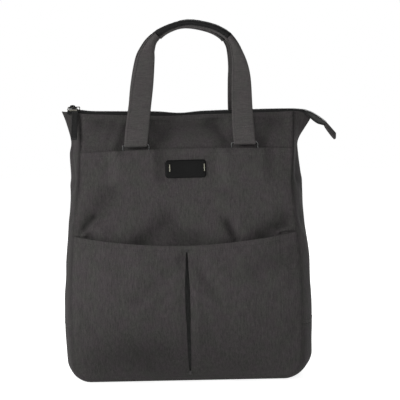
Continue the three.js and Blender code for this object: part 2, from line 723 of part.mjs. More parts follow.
function patch() {
  const face = (lift) => PATCH_UP.map((up) => PATCH_ALONG.map((along) => {
    const rim = Math.abs(up) === 0.5 || Math.abs(along) === 0.5;
    const shown = rim ? patchRim : 1;
    return patchPoint(patchPlace + along * patchWidth, patchMiddle + up * patchHeight, gap + shown * lift);
  }));
  add('patch', solid(sheetTriangles(face(patchThickness), face(0))), 'leather');
}

function patchBar(name, side) {
  const x = patchPlace + side * barAlong * patchWidth;
  const [low, middle, high] = [-barUp, 0, barUp].map((up) => (
    patchPoint(x, patchMiddle + up * patchHeight, patchThickness)));
  const bulge = Math.max(0, (low.y + high.y) / 2 - middle.y);
  const upWay = high.clone().sub(low).normalize();
  const outWay = upWay.clone().cross(new THREE.Vector3(1, 0, 0)).normalize();
  const face = outWay.y > 0 ? outWay.negate() : outWay;
  const half = barWidth / 2;
  const ends = [low, high].map((point) => stripOutline({
    centre: point.clone().addScaledVector(face, bulge + half + 3 * gap),
    widthWay: new THREE.Vector3(1, 0, 0), thickWay: face, width: barWidth, thick: barWidth,
  }));
  add(name, loft(ends), 'metal');
}

// The handle's middle line. Front and rear are mirrored, and the rear one stands a little aside.
function handleLine(face, ringDepth) {
  const shift = face < 0 ? 0 : rearShift;
  const drop = face < 0 ? 0 : rearDrop;
  return new THREE.CatmullRomCurve3(HANDLE.map((row) => new THREE.Vector3(
    handleMiddle + shift + row.x * handleHalfSpan,
    face * mix(ringDepth, gripSpacing / 2, row.lean),
    ringTop + row.z * (handleTop - ringTop) - drop * row.lean,
  )));
}

function handleSection(line, at, face, heading) {
  const last = HANDLE.length - 1;
  const rows = HANDLE.map((row, index) => ({ ...row, index }));
  const tangent = line.getTangent(at / last).multiplyScalar(heading);
  const facing = new THREE.Vector3(0, face, 0);
  const widthWay = facing.clone().cross(tangent).normalize();
  return {
    centre: line.getPoint(at / last),
    widthWay,
    thickWay: tangent.clone().cross(widthWay).normalize(),
    width: webbingWidth * column(rows, 'width', at, 'index'),
    thick: Math.max(webbing, gripDepth * column(rows, 'thick', at, 'index')),
    tangent,
  };
}

function grip(name, line, face) {
  const outlines = [GRIP_START, ...steps(GRIP_START, GRIP_END, GRIP_STEPS)].map((at) => (
    roundOutline(handleSection(line, at, face, 1), GRIP_SIDES)));
  add(name, loft(outlines), 'leather');
}

// A webbing leg from the grip down to its ring, round the ring's bar, and up behind itself.
function leg(name, line, face, end, bar) {
  const last = HANDLE.length - 1;
  const start = end < 0 ? GRIP_START : GRIP_END;
  const ring = end < 0 ? 0 : last;
  const heading = end < 0 ? -1 : 1;
  const down = [start, ...steps(start, ring, LEG_STEPS)].map((at) => handleSection(line, at, face, heading));
  down[0].centre.addScaledVector(down[0].tangent, gap);
  const width = down[down.length - 1].width;
  const radius = (ringWire + webbing) / 2 + gap;
  const across = down[down.length - 1].widthWay.x > 0 ? 1 : -1;
  const widthWay = new THREE.Vector3(across, 0, 0);
  down[down.length - 1].widthWay = widthWay;
  down[down.length - 1].thickWay = new THREE.Vector3(0, face, 0);
  const round = steps(0, Math.PI, FOLD_STEPS).map((turn) => {
    const thickWay = new THREE.Vector3(0, face * Math.cos(turn), -Math.sin(turn));
    const centre = bar.clone().addScaledVector(thickWay, radius);
    return { centre, widthWay, thickWay, width, thick: webbing };
  });
  const layerAbove = handleSection(line, ring - heading, face, heading).centre;
  const back = layerAbove.y - face * (webbing + 2 * gap);
  const centre = new THREE.Vector3(layerAbove.x, back, bar.z + foldBack);
  const tail = [{ centre, widthWay, thickWay: new THREE.Vector3(0, -face, 0), width, thick: webbing }];
  add(name, loft([...down, ...round, ...tail].map(stripOutline)), 'webbing');
}

// A closed loop of wire in the shape of a rectangle with rounded corners.
function wireLoop({ centre, rightWay, upWay, width, height, wire, sides }) {
  const halfWidth = (width - wire) / 2;
  const halfHeight = (height - wire) / 2;
  const corner = wire * wireCorner;
  const outWay = rightWay.clone().cross(upWay);
  const corners = [[1, 1, 0], [-1, 1, 1], [-1, -1, 2], [1, -1, 3]];
  const outlines = corners.flatMap(([sideX, sideZ, quarter]) => [0, 1].map((share) => {
    const turn = ((quarter + share) * Math.PI) / 2;
    const away = rightWay.clone().multiplyScalar(Math.cos(turn)).addScaledVector(upWay, Math.sin(turn));
    const point = centre.clone().addScaledVector(rightWay, sideX * (halfWidth - corner))
      .addScaledVector(upWay, sideZ * (halfHeight - corner)).addScaledVector(away, corner);
    return roundOutline({ centre: point, widthWay: away, thickWay: outWay, width: wire, thick: wire }, sides);
  }));
  return loft(outlines, true);
}

const drawnOut = (shape, depth) => (
  new THREE.ExtrudeGeometry(shape, { depth, bevelEnabled: false, curveSegments: CURVE_STEPS }));

// A band folded round a bar that lies along X, with its two ends together down to a point.
function bandRound({ bar, hole, wall, foot, tailWall, width }) {
  const down = foot.clone().sub(bar).setX(0);
  const reach = down.length();
  const downWay = down.normalize();
  const sideWay = new THREE.Vector3(1, 0, 0).cross(downWay);
  const outer = hole + wall;
  const half = tailWall / 2;
  const meet = Math.asin(half / outer);
  const bottom = -Math.PI / 2;
  const shape = new THREE.Shape();
  shape.moveTo(-half, -reach);
  shape.lineTo(half, -reach);
  shape.absarc(0, 0, outer, bottom + meet, bottom - meet + 2 * Math.PI, false);
  shape.closePath();
  const eye = new THREE.Path();
  eye.absarc(0, 0, hole, 0, 2 * Math.PI, true);
  shape.holes.push(eye);
  const geometry = drawnOut(shape, width);
  geometry.translate(0, 0, -width / 2);
  const frame = new THREE.Matrix4().makeBasis(sideWay, downWay.clone().negate(), sideWay.clone()
    .cross(downWay.clone().negate()));
  geometry.applyMatrix4(frame);
  geometry.translate(bar.x, bar.y, bar.z);
  return geometry;
}

// One handle with its grip, two legs, two rings and the two loops that hold the rings.
function handle(prefix, face) {
  const shift = face < 0 ? 0 : rearShift;
  const ringLow = ringTop - ringHeight + ringWire;
  const depthAt = (x, z) => Math.max(...[-0.5, 0, 0.5].map((side) => {
    const across = acrossAt(x + side * anchorWidth, z);
    return Math.abs((face < 0 ? frontPoint(across, z, 1) : backPoint(across, z)).y);
  }));
  const middles = [-1, 1].map((end) => handleMiddle + shift + end * handleHalfSpan);
  const loopReach = ringWire / 2 + gap + cloth;
  const barDepth = Math.max(...middles.map((x) => depthAt(x, ringLow))) + loopReach + 2 * gap;
  const line = handleLine(face, barDepth + (ringWire + webbing) / 2 + gap);
  grip(`${prefix}_grip`, line, face);
  [[-1, 'left'], [1, 'right']].forEach(([end, word]) => {
    const x = handleMiddle + shift + end * handleHalfSpan;
    const bar = new THREE.Vector3(x, face * barDepth, ringTop);
    leg(`${prefix}_leg_${word}`, line, face, end, bar);
    add(`${prefix}_ring_${word}`, wireLoop({
      centre: new THREE.Vector3(x, face * barDepth, ringTop - (ringHeight - ringWire) / 2),
      rightWay: new THREE.Vector3(1, 0, 0), upWay: new THREE.Vector3(0, 0, 1),
      width: ringWidth, height: ringHeight, wire: ringWire, sides: WIRE_SIDES,
    }), 'dark_metal');
    const lowBar = new THREE.Vector3(x, face * barDepth, ringLow);
    const footHeight = ringLow - anchorLength;
    const foot = new THREE.Vector3(x, face * (depthAt(x, footHeight) + cloth + 2 * gap), footHeight);
    add(`${prefix}_anchor_${word}`, bandRound({
      bar: lowBar, hole: ringWire / 2 + gap, wall: cloth, foot, tailWall: 2 * cloth, width: anchorWidth,
    }), 'webbing');
  });
}

const zipHeight = (along) => hemHeight + zipRise * column(ZIP_LINE, 'rise', along, 'along');
const zipPoint = (along, y, z) => new THREE.Vector3(mix(zipLeft, zipRight, along), y, z);

function zipTape(name, face) {
  const outer = [0, ...steps(0, 1, TAPE_STEPS)].map((along) => {
    const top = zipHeight(along);
    const edge = column(TAPE_EDGE, 'spread', along, 'along') * (mouthDepth / 2);
    const drop = tapeTuck * column(TAPE_EDGE, 'drop', along, 'along');
    const inner = chainWidth / 2 + gap;
    return [
      zipPoint(along, face * inner, top),
      zipPoint(along, face * mix(inner, edge, tapeFoldPlace), top - drop * tapeFoldDrop),
      zipPoint(along, face * edge, top - drop),
    ];
  });
  const below = shifted(outer, new THREE.Vector3(0, 0, -tapeThickness));
  add(name, solid(sheetTriangles(outer, below)), 'zip');
}

function zipChain() {
  const start = (sliderInset + sliderLength + 2 * gap) / (zipRight - zipLeft);
  const outlines = [start, ...steps(start, 1, TAPE_STEPS)].map((along) => roundOutline({
    centre: zipPoint(along, 0, zipHeight(along)),
    widthWay: new THREE.Vector3(0, 1, 0), thickWay: new THREE.Vector3(0, 0, 1),
    width: chainWidth, thick: chainHeight,
  }, CHAIN_SIDES));
  add('zip_chain', loft(outlines), 'zip');
}

const sliderPlace = zipLeft + sliderInset + sliderLength / 2;
const sliderFloor = zipHeight(0) + gap;
const bridgeHeight = sliderFloor + sliderHeight - bridgeDrop;

// The slider's side view, with the hole that the pull loop's bar turns in, drawn out along the zip.
function zipSlider() {
  const half = sliderDepth / 2;
  const shape = new THREE.Shape();
  shape.moveTo(-half, 0);
  shape.lineTo(half, 0);
  shape.lineTo(half, sliderHeight * sliderWaist);
  shape.lineTo(half * sliderWaist, sliderHeight);
  shape.lineTo(-half * sliderWaist, sliderHeight);
  shape.lineTo(-half, sliderHeight * sliderWaist);
  shape.closePath();
  const eye = new THREE.Path();
  eye.absarc(0, bridgeHeight - sliderFloor, pullWire / 2 + gap, 0, 2 * Math.PI, true);
  shape.holes.push(eye);
  const geometry = drawnOut(shape, sliderLength);
  geometry.rotateX(Math.PI / 2);
  geometry.rotateZ(Math.PI / 2);
  geometry.translate(sliderPlace - sliderLength / 2, 0, sliderFloor);
  add('zip_slider', geometry, 'dark_metal');
}

const pullDown = new THREE.Vector3(0, -Math.cos(pullSlope), -Math.sin(pullSlope));
const pullLow = new THREE.Vector3(sliderPlace + pullerShift, 0, bridgeHeight)
  .addScaledVector(pullDown, pullLoopHeight - pullWire);

function zipPullRing() {
  add('zip_pull_ring', wireLoop({
    centre: new THREE.Vector3(sliderPlace + pullLoopShift, 0, bridgeHeight)
      .addScaledVector(pullDown, (pullLoopHeight - pullWire) / 2),
    rightWay: new THREE.Vector3(1, 0, 0), upWay: pullDown.clone().negate(),
    width: pullLoopWidth, height: pullLoopHeight, wire: pullWire, sides: WIRE_SIDES,
  }), 'metal');
}

function zipPuller() {
  const height = pullLow.z - pullerLength;
  const surface = halfDepth(height);
  const foot = new THREE.Vector3(pullLow.x, -(surface + pullerStand), height);
  add('zip_puller', bandRound({
    bar: pullLow, hole: pullWire / 2 + gap, wall: pullerThickness / 2, foot,
    tailWall: pullerThickness, width: pullerWidth,
  }), 'leather');
}

// The zip's free end is folded lengthwise like a tent, and falls from the right end of the zip.
function tailRows(from, to, count, grow) {
  return [from, ...steps(from, to, count)].map((reach) => {
    const at = (key) => column(TAIL, key, reach, 'reach');
    const spread = tailSpread * at('spread') + grow;
    const drape = tailSpread * at('drape');
    const lean = (drape - tailSpread * TAIL[0].drape) / 2;
    const x = zipRight + gap + tailReach * reach;
    const top = zipHeight(1) + grow - tailReach * at('fall');
    return TAIL_PLACES.map((side) => {
      const out = Math.abs(side);
      return new THREE.Vector3(x - lean * out, side * spread, top - drape * out ** TAIL_POWER);
    });
  });
}

function zipTail() {
  const outer = tailRows(0, (tailReach - tabReach) / tailReach, TAIL_STEPS, 0);
  const inner = shifted(outer, new THREE.Vector3(0, 0, -cloth));
  add('zip_tail', solid(sheetTriangles(outer, inner)), 'zip');
}

function zipEndTab() {
  const from = (tailReach - tabReach + gap) / tailReach;
  const outer = tailRows(from, TAIL[TAIL.length - 1].reach, 2, cloth / 2);
  const inner = shifted(outer, new THREE.Vector3(0, 0, -tabWall));
  add('zip_end_tab', solid(sheetTriangles(outer, inner)), 'fabric');
}

// A shoulder strap, sewn to the back at its top and at the bottom corner, and bowed off in between.
function shoulderStrap(name, side) {
  const points = STRAP.map((row) => {
    const x = side * row.place * strapFootPlace;
    const z = mix(strapFoot, strapTop, row.height);
    const width = strapWidth * row.width;
    const edge = Math.max(0, Math.abs(x) - width / 2) * side;
    const surface = backPoint(acrossAt(edge, z), z).y;
    const thick = strapThickness * row.thick;
    return new THREE.Vector3(x, surface + 2 * gap + strapBow * row.bow + thick / 2, z);
  });
  const outlines = points.map((centre, i) => {
    const tangent = points[Math.min(i + 1, points.length - 1)].clone().sub(points[Math.max(i - 1, 0)]);
    const widthWay = new THREE.Vector3(0, 1, 0).cross(tangent).normalize();
    const thickWay = tangent.clone().cross(widthWay).normalize();
    return stripOutline({
      centre, widthWay, thickWay,
      width: strapWidth * STRAP[i].width, thick: strapThickness * STRAP[i].thick,
    });
  });
  add(name, loft(outlines), 'fabric');
}

frontPanel();
backPanel();
sideGusset('side_gusset_left', -1);
sideGusset('side_gusset_right', 1);
baseStrip();
upperPocket();
lowerPocket();
pleatUnderlay();
patch();
patchBar('patch_bar_left', -1);
patchBar('patch_bar_right', 1);
handle('front', -1);
handle('rear', 1);
zipTape('zip_tape_front', -1);
zipTape('zip_tape_rear', 1);
zipChain();
zipSlider();
zipPullRing();
zipPuller();
zipTail();
zipEndTab();
shoulderStrap('shoulder_strap_left', 1);
shoulderStrap('shoulder_strap_right', -1);

export default bag;
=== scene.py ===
"""The looks of a soft cloth backpack shaped like a tote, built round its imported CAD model.

Sizes are in millimetres in this file, and become metres where a mesh is made. The front faces -Y and
the origin is the middle of the base on the floor.
"""
import math

import bmesh
import bpy
import numpy as np
from mathutils import Matrix, Vector

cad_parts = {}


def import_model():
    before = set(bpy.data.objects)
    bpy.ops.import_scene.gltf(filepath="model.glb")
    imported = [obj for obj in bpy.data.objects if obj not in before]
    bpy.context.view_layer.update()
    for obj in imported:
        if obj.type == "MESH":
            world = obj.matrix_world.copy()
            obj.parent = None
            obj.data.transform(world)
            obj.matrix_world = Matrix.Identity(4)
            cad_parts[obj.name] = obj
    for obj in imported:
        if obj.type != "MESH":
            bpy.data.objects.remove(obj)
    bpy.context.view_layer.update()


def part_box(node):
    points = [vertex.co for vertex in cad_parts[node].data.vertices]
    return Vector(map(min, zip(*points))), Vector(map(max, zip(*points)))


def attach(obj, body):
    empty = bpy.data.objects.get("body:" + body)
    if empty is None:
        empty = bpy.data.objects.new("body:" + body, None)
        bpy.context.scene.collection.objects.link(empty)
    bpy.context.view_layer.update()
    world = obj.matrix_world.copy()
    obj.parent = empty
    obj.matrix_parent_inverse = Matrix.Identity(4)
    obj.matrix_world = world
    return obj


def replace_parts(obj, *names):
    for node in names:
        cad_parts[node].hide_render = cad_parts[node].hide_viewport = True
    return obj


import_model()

MM = 0.001

# Body
HEM_HEIGHT = 399
SEAM_HALF_WIDTH = 172
BASE_DEPTH = 116
MOUTH_DEPTH = 22
SEAM_LIFT = 8
CORNER_LEFT = 22
CORNER_RIGHT = 27
SIDE_BULGE = 17
FRONT_CROWN = 14
BACK_CROWN = 6
HEM_WAVE = 6
EAR_RISE_LEFT = 3.5
EAR_FALL_RIGHT = 9.5
CLOTH = 1.6
GAP = 0.3

# Seams and pocket hems, above the floor. The upper hem is measured down from the top.
CROSS_SEAM_HEIGHT = 84
LOWER_HEM_HEIGHT = 221
LOWER_HEM_SAG = 15
LOWER_HEM_BAND = 4.5
UPPER_HEM_DROP = 54
UPPER_HEM_HEIGHT = HEM_HEIGHT - UPPER_HEM_DROP
UPPER_HEM_RISE = 3.5

# Pockets
LOWER_STAND_DEPTH = 13
UPPER_STAND_DEPTH = 3
ANCHOR_STAND = 9
ANCHOR_BUMP_HALF = 24
ANCHOR_BUMP_FADE = 20
ANCHOR_BUMP_DROP = 59
HEM_FADE = 12
FOLD_DEPTH = 7
FOLD_WIDTH = 15
SLIT_PLACE = 2.5
SLIT_WIDTH = 8.5
SLIT_BOTTOM = 13
SLIT_DROP = 20
SLIT_TOP = LOWER_HEM_HEIGHT - SLIT_DROP
PLEAT_HALF_WIDTH = 24
PLEAT_DEPTH = 0.7

# Patch
PATCH_PLACE = 3
PATCH_WIDTH = 59
PATCH_HEIGHT = 25
PATCH_DROP = 26
PATCH_MIDDLE = UPPER_HEM_HEIGHT - PATCH_DROP
PATCH_THICKNESS = 1.8
PATCH_CORNER = 4
BAR_HEIGHT = 11.4
BAR_RISE = 1.6
BAR_WIDTH = 1.6
BAR_INSET = 6
BAR_INSET_RIGHT = 1.6

# Handles
RING_RISE = 11
RING_TOP = UPPER_HEM_HEIGHT + RING_RISE
HANDLE_RISE = 181
HANDLE_TOP = RING_TOP + HANDLE_RISE
HANDLE_HALF_SPAN = 81
HANDLE_MIDDLE = 10.4
WEBBING_WIDTH = 36
WEBBING = 2.2
GRIP_DEPTH = 19
GRIP_SPACING = 36
REAR_SHIFT = -7
REAR_DROP = -1
FOLD_BACK = 27
RING_WIRE = 3
RING_WIDTH = 42
RING_HEIGHT = 16
ANCHOR_WIDTH = 34
ANCHOR_LENGTH = 27

# Zip
ZIP_LEFT = -177
ZIP_RIGHT = 182
ZIP_RISE = 5.5
TAPE_THICKNESS = 1
TAPE_TUCK = 9
TAPE_FOLD_PLACE = 0.55
TAPE_FOLD_DROP = 0.4
CHAIN_WIDTH = 5
SLIDER_LENGTH = 12
SLIDER_DEPTH = 9
SLIDER_HEIGHT = 6.4
SLIDER_INSET = 2
BRIDGE_DROP = 2.2
PULL_WIRE = 1.6
PULL_LOOP_WIDTH = 19.5
PULL_LOOP_SHIFT = 1.85
PULL_LOOP_HEIGHT = 12
PULL_SLOPE = math.radians(26)
PULL_CLASP_WIDTH = 12
PULL_CLASP_HEIGHT = 2.6
PULLER_WIDTH = 9
PULLER_SHIFT = 4.3
PULLER_LENGTH = 44.5
PULLER_THICKNESS = 1.8
PULLER_STAND = 8
TAIL_REACH = 46
TAIL_SPREAD = 9
TAB_REACH = 13
TAB_WALL = 3.2

# Shoulder straps, on the back
STRAP_WIDTH = 50
STRAP_THICKNESS = 7
STRAP_BOW = 20
STRAP_DROP = 69
STRAP_TOP = HEM_HEIGHT - STRAP_DROP
STRAP_FOOT = 30
STRAP_FOOT_PLACE = 140

# Shapes of curves: the powers of the bows across the panels, and of the tail's fold
CROWN_POWER = 2.4
STAND_POWER = 4
SAG_POWER = 1.8
HELD_POWER = 12
TAIL_POWER = 1.3
EAR_CURL_LEFT = 0.5
EAR_CURL_RIGHT = 2.5

# Sewing, and the unevenness of cloth
STITCH_PITCH = 3.2
STITCH_LENGTH = 2.2
STITCH_WIDTH = 0.55
STITCH_LIFT = 0.15
HEM_STITCH_DROP = 8
TOP_STITCH_DROP = 8.5
SEAM_ROLL = 1.5
SEAM_ROLL_WIDTH = 3.5
PUCKER = 0.35
PUCKER_PITCH = 9
PUCKER_REACH = 11
PUCKER_SWAY = 2.5
UNEVEN = 0.5
LOWER_UNEVEN = 0.7
BACK_UNEVEN = 0.8
UNEVEN_SIZE = 60
UNEVEN_WAVES = 9
UNEVEN_LENGTHS = (0.6, 1.7)

# Seeds
SEED = 11
LOWER_SEED = 3
BACK_SEED = 5
BACK_SEAM_SEED = 6
SIDE_SEED = 20
BASE_SEED = 30
GRIP_SEED = 41
TAPE_SEED = 50
TAIL_SEED = 61

# Directions, and the two sides with their names
FRONT = (0, -1, 0)
BACK = (0, 1, 0)
TOP = (0, 0, 1)
RIGHT = np.array([1.0, 0, 0])
REARWARD = np.array([0, 1.0, 0])
UPWARD = np.array([0, 0, 1.0])
SIDES = ((-1, "left"), (1, "right"))


def table(names, *rows):
    """Rows of numbers under named columns."""
    return dict(zip(names.split(), np.array(rows, float).T))


# Body sections from the bottom seam to the top hem. height is a share of HEM_HEIGHT, left and right of
# SEAM_HALF_WIDTH, depth of the way from half the mouth to half the base, crown_front and crown_back of
# their crowns, bulge_left and bulge_right of SIDE_BULGE, and ear of the way from a round side to a fold.
SECTIONS = table(
    "height left right depth crown_front crown_back bulge_left bulge_right ear",
    (0.02, 0.99, 0.98, 0.95, 0.05, 0.1, 0.9, 0.95, 0),
    (0.15, 1.0, 0.985, 1.0, 0.65, 0.7, 1.0, 0.99, 0),
    (0.3, 1.0, 0.985, 1.0, 1.0, 1.0, 0.98, 1.06, 0),
    (0.4, 0.99, 0.98, 0.985, 1.0, 1.0, 0.95, 1.04, 0),
    (0.53, 0.97, 0.962, 0.94, 0.85, 0.95, 0.94, 0.97, 0),
    (0.65, 0.945, 0.942, 0.85, 0.65, 0.85, 0.87, 0.84, 0.1),
    (0.74, 0.922, 0.93, 0.76, 0.5, 0.7, 1.02, 0.98, 0.3),
    (0.775, 0.918, 0.935, 0.71, 0.45, 0.62, 0.95, 0.8, 0.4),
    (0.865, 0.908, 0.953, 0.585, 0.38, 0.5, 1.15, 0.42, 0.6),
    (0.905, 0.905, 0.957, 0.45, 0.38, 0.4, 1.0, 0.48, 0.75),
    (0.95, 0.907, 0.96, 0.24, 0.25, 0.2, 1.22, 0.88, 0.9),
    (1.0, 0.912, 0.965, 0, 0, 0, 1.63, 1.45, 1),
)

# How far the side cloth stands out between the front seam (across 0) and the back seam (across 1),
# as shares of its bulge: a round side, a sharp ear fold, and the flat base.
PROFILE = table(
    "across side ear base",
    (0, 0, 0, 0),
    (0.05, 0.3, 0.1, 0.74),
    (0.12, 0.56, 0.24, 1),
    (0.25, 0.86, 0.52, 1),
    (0.42, 1, 1, 1),
    (0.58, 1, 1, 1),
    (0.75, 0.86, 0.52, 1),
    (0.88, 0.56, 0.24, 1),
    (0.95, 0.3, 0.1, 0.74),
    (1, 0, 0, 0),
)

# The top hems' height along the width, as shares of HEM_WAVE.
HEM = table(
    "across rise",
    (0, 0.95), (0.08, 0.65), (0.2, 0.3), (0.4, -0.15), (0.6, 0), (0.85, 0.1), (1, 0.2),
)

# The zip's height above the hem along its length, as shares of ZIP_RISE.
ZIP_LINE = table(
    "along rise",
    (0, 2.15), (0.045, 2.1), (0.095, 1.68), (0.18, 1.45), (0.38, 1.05), (0.475, 0.5), (0.57, 0.9), (0.8, 1.0),
    (0.95, 0.9), (1, 0.6),
)

# The zip tape's outer edge: spread is a share of half the mouth, drop of TAPE_TUCK below the zip line.
TAPE_EDGE = table(
    "along spread drop",
    (0, 0.6, 0.6), (0.045, 0.8, 0.75), (0.085, 0.97, 0.85), (0.13, 0.97, 0.9), (0.9, 0.97, 0.9),
    (0.945, 0.8, 0.8), (1, 0.42, 0.6),
)

# Dents pressed into the front panel and the upper pocket, each along a line. Places along X are shares
# of SEAM_HALF_WIDTH and heights shares of HEM_HEIGHT, depth is a share of FOLD_DEPTH and width of
# FOLD_WIDTH. ridge is how much the cloth stands up again beside the dent, as a share of its depth, on
# the left of the line's direction where it is positive and on the right where it is negative.
# These dents and those below also set painted shade, darker where they press deeper.
FOLD_COLUMNS = "from_x from_z to_x to_z depth width ridge"
FRONT_FOLDS = table(
    FOLD_COLUMNS,
    (-0.72, 0.975, -0.5, 0.965, 0.6, 0.8, 0),
    (-0.49, 0.95, -0.54, 0.88, 0.7, 0.55, 0),
    (-0.27, 0.97, -0.16, 0.93, 0.9, 1.0, 0),
    (-0.22, 0.965, 0.3, 0.968, 0.7, 0.8, 0),
    (0.26, 0.965, 0.4, 0.9, 0.9, 0.9, 0),
    (0.62, 0.975, 0.84, 0.97, 0.7, 0.8, 0),
    (0.63, 0.95, 0.66, 0.89, 0.7, 0.6, 0),
    (-0.62, 0.715, -0.84, 0.605, 0.7, 0.95, 0),
    (-0.14, 0.61, -0.36, 0.53, 0.9, 1.1, 0),
    (-0.05, 0.555, 0.1, 0.535, 0.7, 0.8, 0),
    (0.37, 0.6, 0.42, 0.53, 0.6, 0.55, 0),
    (0.88, 0.61, 0.68, 0.545, 0.9, 0.9, 0),
)

# Narrow creases on the same cloth, too fine for the CAD model.
FRONT_CREASES = table(
    FOLD_COLUMNS,
    (-0.78, 0.628, -0.91, 0.572, 0.6, 0.3, 0.8),
    (-0.85, 0.575, -0.8, 0.545, 0.5, 0.42, 0),
    (-0.955, 0.557, -0.85, 0.551, 0.6, 0.13, 0),
    (-0.7, 0.572, -0.8, 0.588, -0.35, 0.5, 0),
    (0.37, 0.59, 0.44, 0.535, 0.4, 0.3, -0.5),
    (0.51, 0.56, 0.47, 0.6, -0.2, 0.5, 0),
    (0.95, 0.56, 0.82, 0.551, 0.6, 0.13, 0),
    (0.88, 0.585, 0.8, 0.575, 0.5, 0.3, 0.6),
    (0.93, 0.565, 0.86, 0.6, 0.2, 0.3, -0.4),
    # On the left seam, where the cloth is held flat: almost all painted shade, the puller's shadow.
    (-0.908, 0.985, -0.902, 0.885, 1.1, 0.17, 0),
    (-0.6, 0.965, -0.66, 0.9, 0.15, 0.35, -0.4),
    (-0.12, 0.965, -0.24, 0.885, 0.2, 0.4, 0.3),
    (0.28, 0.965, 0.37, 0.9, 0.2, 0.35, -0.3),
    (0.78, 0.965, 0.68, 0.9, 0.2, 0.4, 0.3),
    (-0.86, 0.83, -0.92, 0.72, 0.14, 0.5, 0.3),
    (0.88, 0.83, 0.93, 0.7, 0.14, 0.5, 0.3),
)

# Dents pressed into the lower pocket, in the same terms.
POCKET_FOLDS = table(
    FOLD_COLUMNS,
    (-0.05, 0.48, -0.4, 0.33, 0.35, 0.9, 0.4),
    (0.08, 0.46, 0.24, 0.36, 0.35, 0.9, 0.4),
    (0.6, 0.43, 0.85, 0.47, 0.4, 1, 0),
    (-0.7, 0.1, -0.2, 0.13, 0.4, 1.6, 0),
)
POCKET_CREASES = table(
    FOLD_COLUMNS,
    (-0.02, 0.47, -0.26, 0.36, 0.16, 0.5, -0.5),
    (-0.03, 0.43, -0.34, 0.24, 0.13, 0.6, -0.5),
    (0.06, 0.46, 0.3, 0.3, 0.14, 0.5, 0.5),
    (0.08, 0.38, 0.2, 0.2, 0.1, 0.6, 0.5),
    (0.93, 0.5, 0.9, 0.36, 0.24, 0.4, -0.4),
    (0.8, 0.52, 0.86, 0.44, 0.12, 0.4, 0.3),
    (-0.93, 0.3, -0.8, 0.2, 0.16, 0.5, 0.4),
    (0.95, 0.24, 0.82, 0.13, 0.16, 0.5, 0.4),
    (-0.6, 0.2, -0.3, 0.08, 0.14, 0.9, 0.3),
)

# Creases on the back panel, in the same terms.
BACK_FOLDS = table(
    FOLD_COLUMNS,
    (-0.85, 0.62, -0.55, 0.52, 0.4, 0.8, 0.3),
    (0.85, 0.64, 0.6, 0.54, 0.4, 0.8, 0.3),
    (-0.2, 0.92, -0.15, 0.84, 0.35, 0.8, 0),
    (0.25, 0.92, 0.2, 0.84, 0.35, 0.8, 0),
    (-0.5, 0.1, 0.4, 0.12, 0.3, 1.4, 0),
)

# Creases on the side cloth. along runs from the front seam (0) to the back seam (1), heights are shares
# of HEM_HEIGHT, depth is in millimetres and width a share of FOLD_WIDTH.
SIDE_FOLDS = table(
    "from_along from_z to_along to_z depth width",
    (0.1, 0.76, 0.34, 0.72, 2.6, 0.7),
    (0.9, 0.77, 0.68, 0.72, 2.6, 0.7),
    (0.08, 0.62, 0.3, 0.57, 2.4, 0.8),
    (0.92, 0.6, 0.72, 0.55, 2.4, 0.8),
    (0.35, 0.4, 0.6, 0.35, 0.8, 1.2),
    (0.35, 0.88, 0.2, 0.8, 1.6, 0.5),
    (0.65, 0.88, 0.8, 0.8, 1.6, 0.5),
)

# How far the lower pocket stands off the cloth behind it, as a share of LOWER_STAND_DEPTH.
LOWER_STAND = table(
    "height stand",
    (0.02, 0), (0.05, 0.42), (0.105, 0.62), (0.21, 0.85), (0.38, 1), (0.48, 1), (0.56, 0.85),
)

# The same for the upper pocket, as a share of UPPER_STAND_DEPTH.
UPPER_STAND = table("height stand", (0.02, 0), (0.1, 0.25), (0.55, 0.4), (0.75, 1), (0.88, 1))

# The slit's opening from its bottom to its top, as a share of SLIT_WIDTH.
SLIT = table(
    "along open",
    (0, 0), (0.03, 0.38), (0.1, 0.62), (0.22, 0.8), (0.36, 0.78), (0.5, 1), (0.68, 1), (0.85, 0.7),
    (0.96, 0.45), (1, 0),
)

# The handle's middle line from the left ring over the grip to the right ring. x is a share of
# HANDLE_HALF_SPAN, z of the way from RING_TOP to HANDLE_TOP, lean of the way from the rings' plane to
# the grip's. width is a share of WEBBING_WIDTH, and thick is a share of GRIP_DEPTH.
HANDLE = table(
    "x z lean width thick",
    (-1.0, 0, 0, 0.96, 0.116),
    (-0.973, 0.112, 0.05, 0.965, 0.116),
    (-0.918, 0.308, 0.27, 0.94, 0.116),
    (-0.86, 0.51, 0.55, 0.91, 0.14),
    (-0.795, 0.705, 0.8, 0.75, 0.28),
    (-0.735, 0.8, 0.92, 0.53, 0.55),
    (-0.628, 0.878, 1, 0.36, 0.85),
    (-0.388, 0.955, 1, 0.29, 1),
    (-0.005, 1, 1, 0.29, 1),
    (0.427, 0.965, 1, 0.29, 1),
    (0.695, 0.903, 1, 0.3, 0.85),
    (0.827, 0.83, 0.94, 0.35, 0.6),
    (0.893, 0.75, 0.86, 0.47, 0.38),
    (0.948, 0.635, 0.7, 0.66, 0.2),
    (0.965, 0.51, 0.55, 0.8, 0.14),
    (0.967, 0.308, 0.27, 0.86, 0.116),
    (0.98, 0.112, 0.05, 0.88, 0.116),
    (1.0, 0, 0, 0.9, 0.116),
)
HANDLE["index"] = np.arange(len(HANDLE["x"]), dtype=float)
HANDLE_LAST = HANDLE["index"][-1]
GRIP_START = 6.3
GRIP_END = 10.5

# The zip's free end: reach is a share of TAIL_REACH, fall below the zip's end is a share of TAIL_REACH,
# spread and drape are shares of TAIL_SPREAD.
TAIL = table(
    "reach fall spread drape",
    (0, 0, 0.5, 0.6),
    (0.22, 0.08, 0.8, 0.85),
    (0.48, 0.24, 1, 1.0),
    (0.69, 0.405, 1.02, 0.62),
    (0.78, 0.5, 1.05, 0.75),
    (1.03, 0.8, 1.15, 0.85),
)

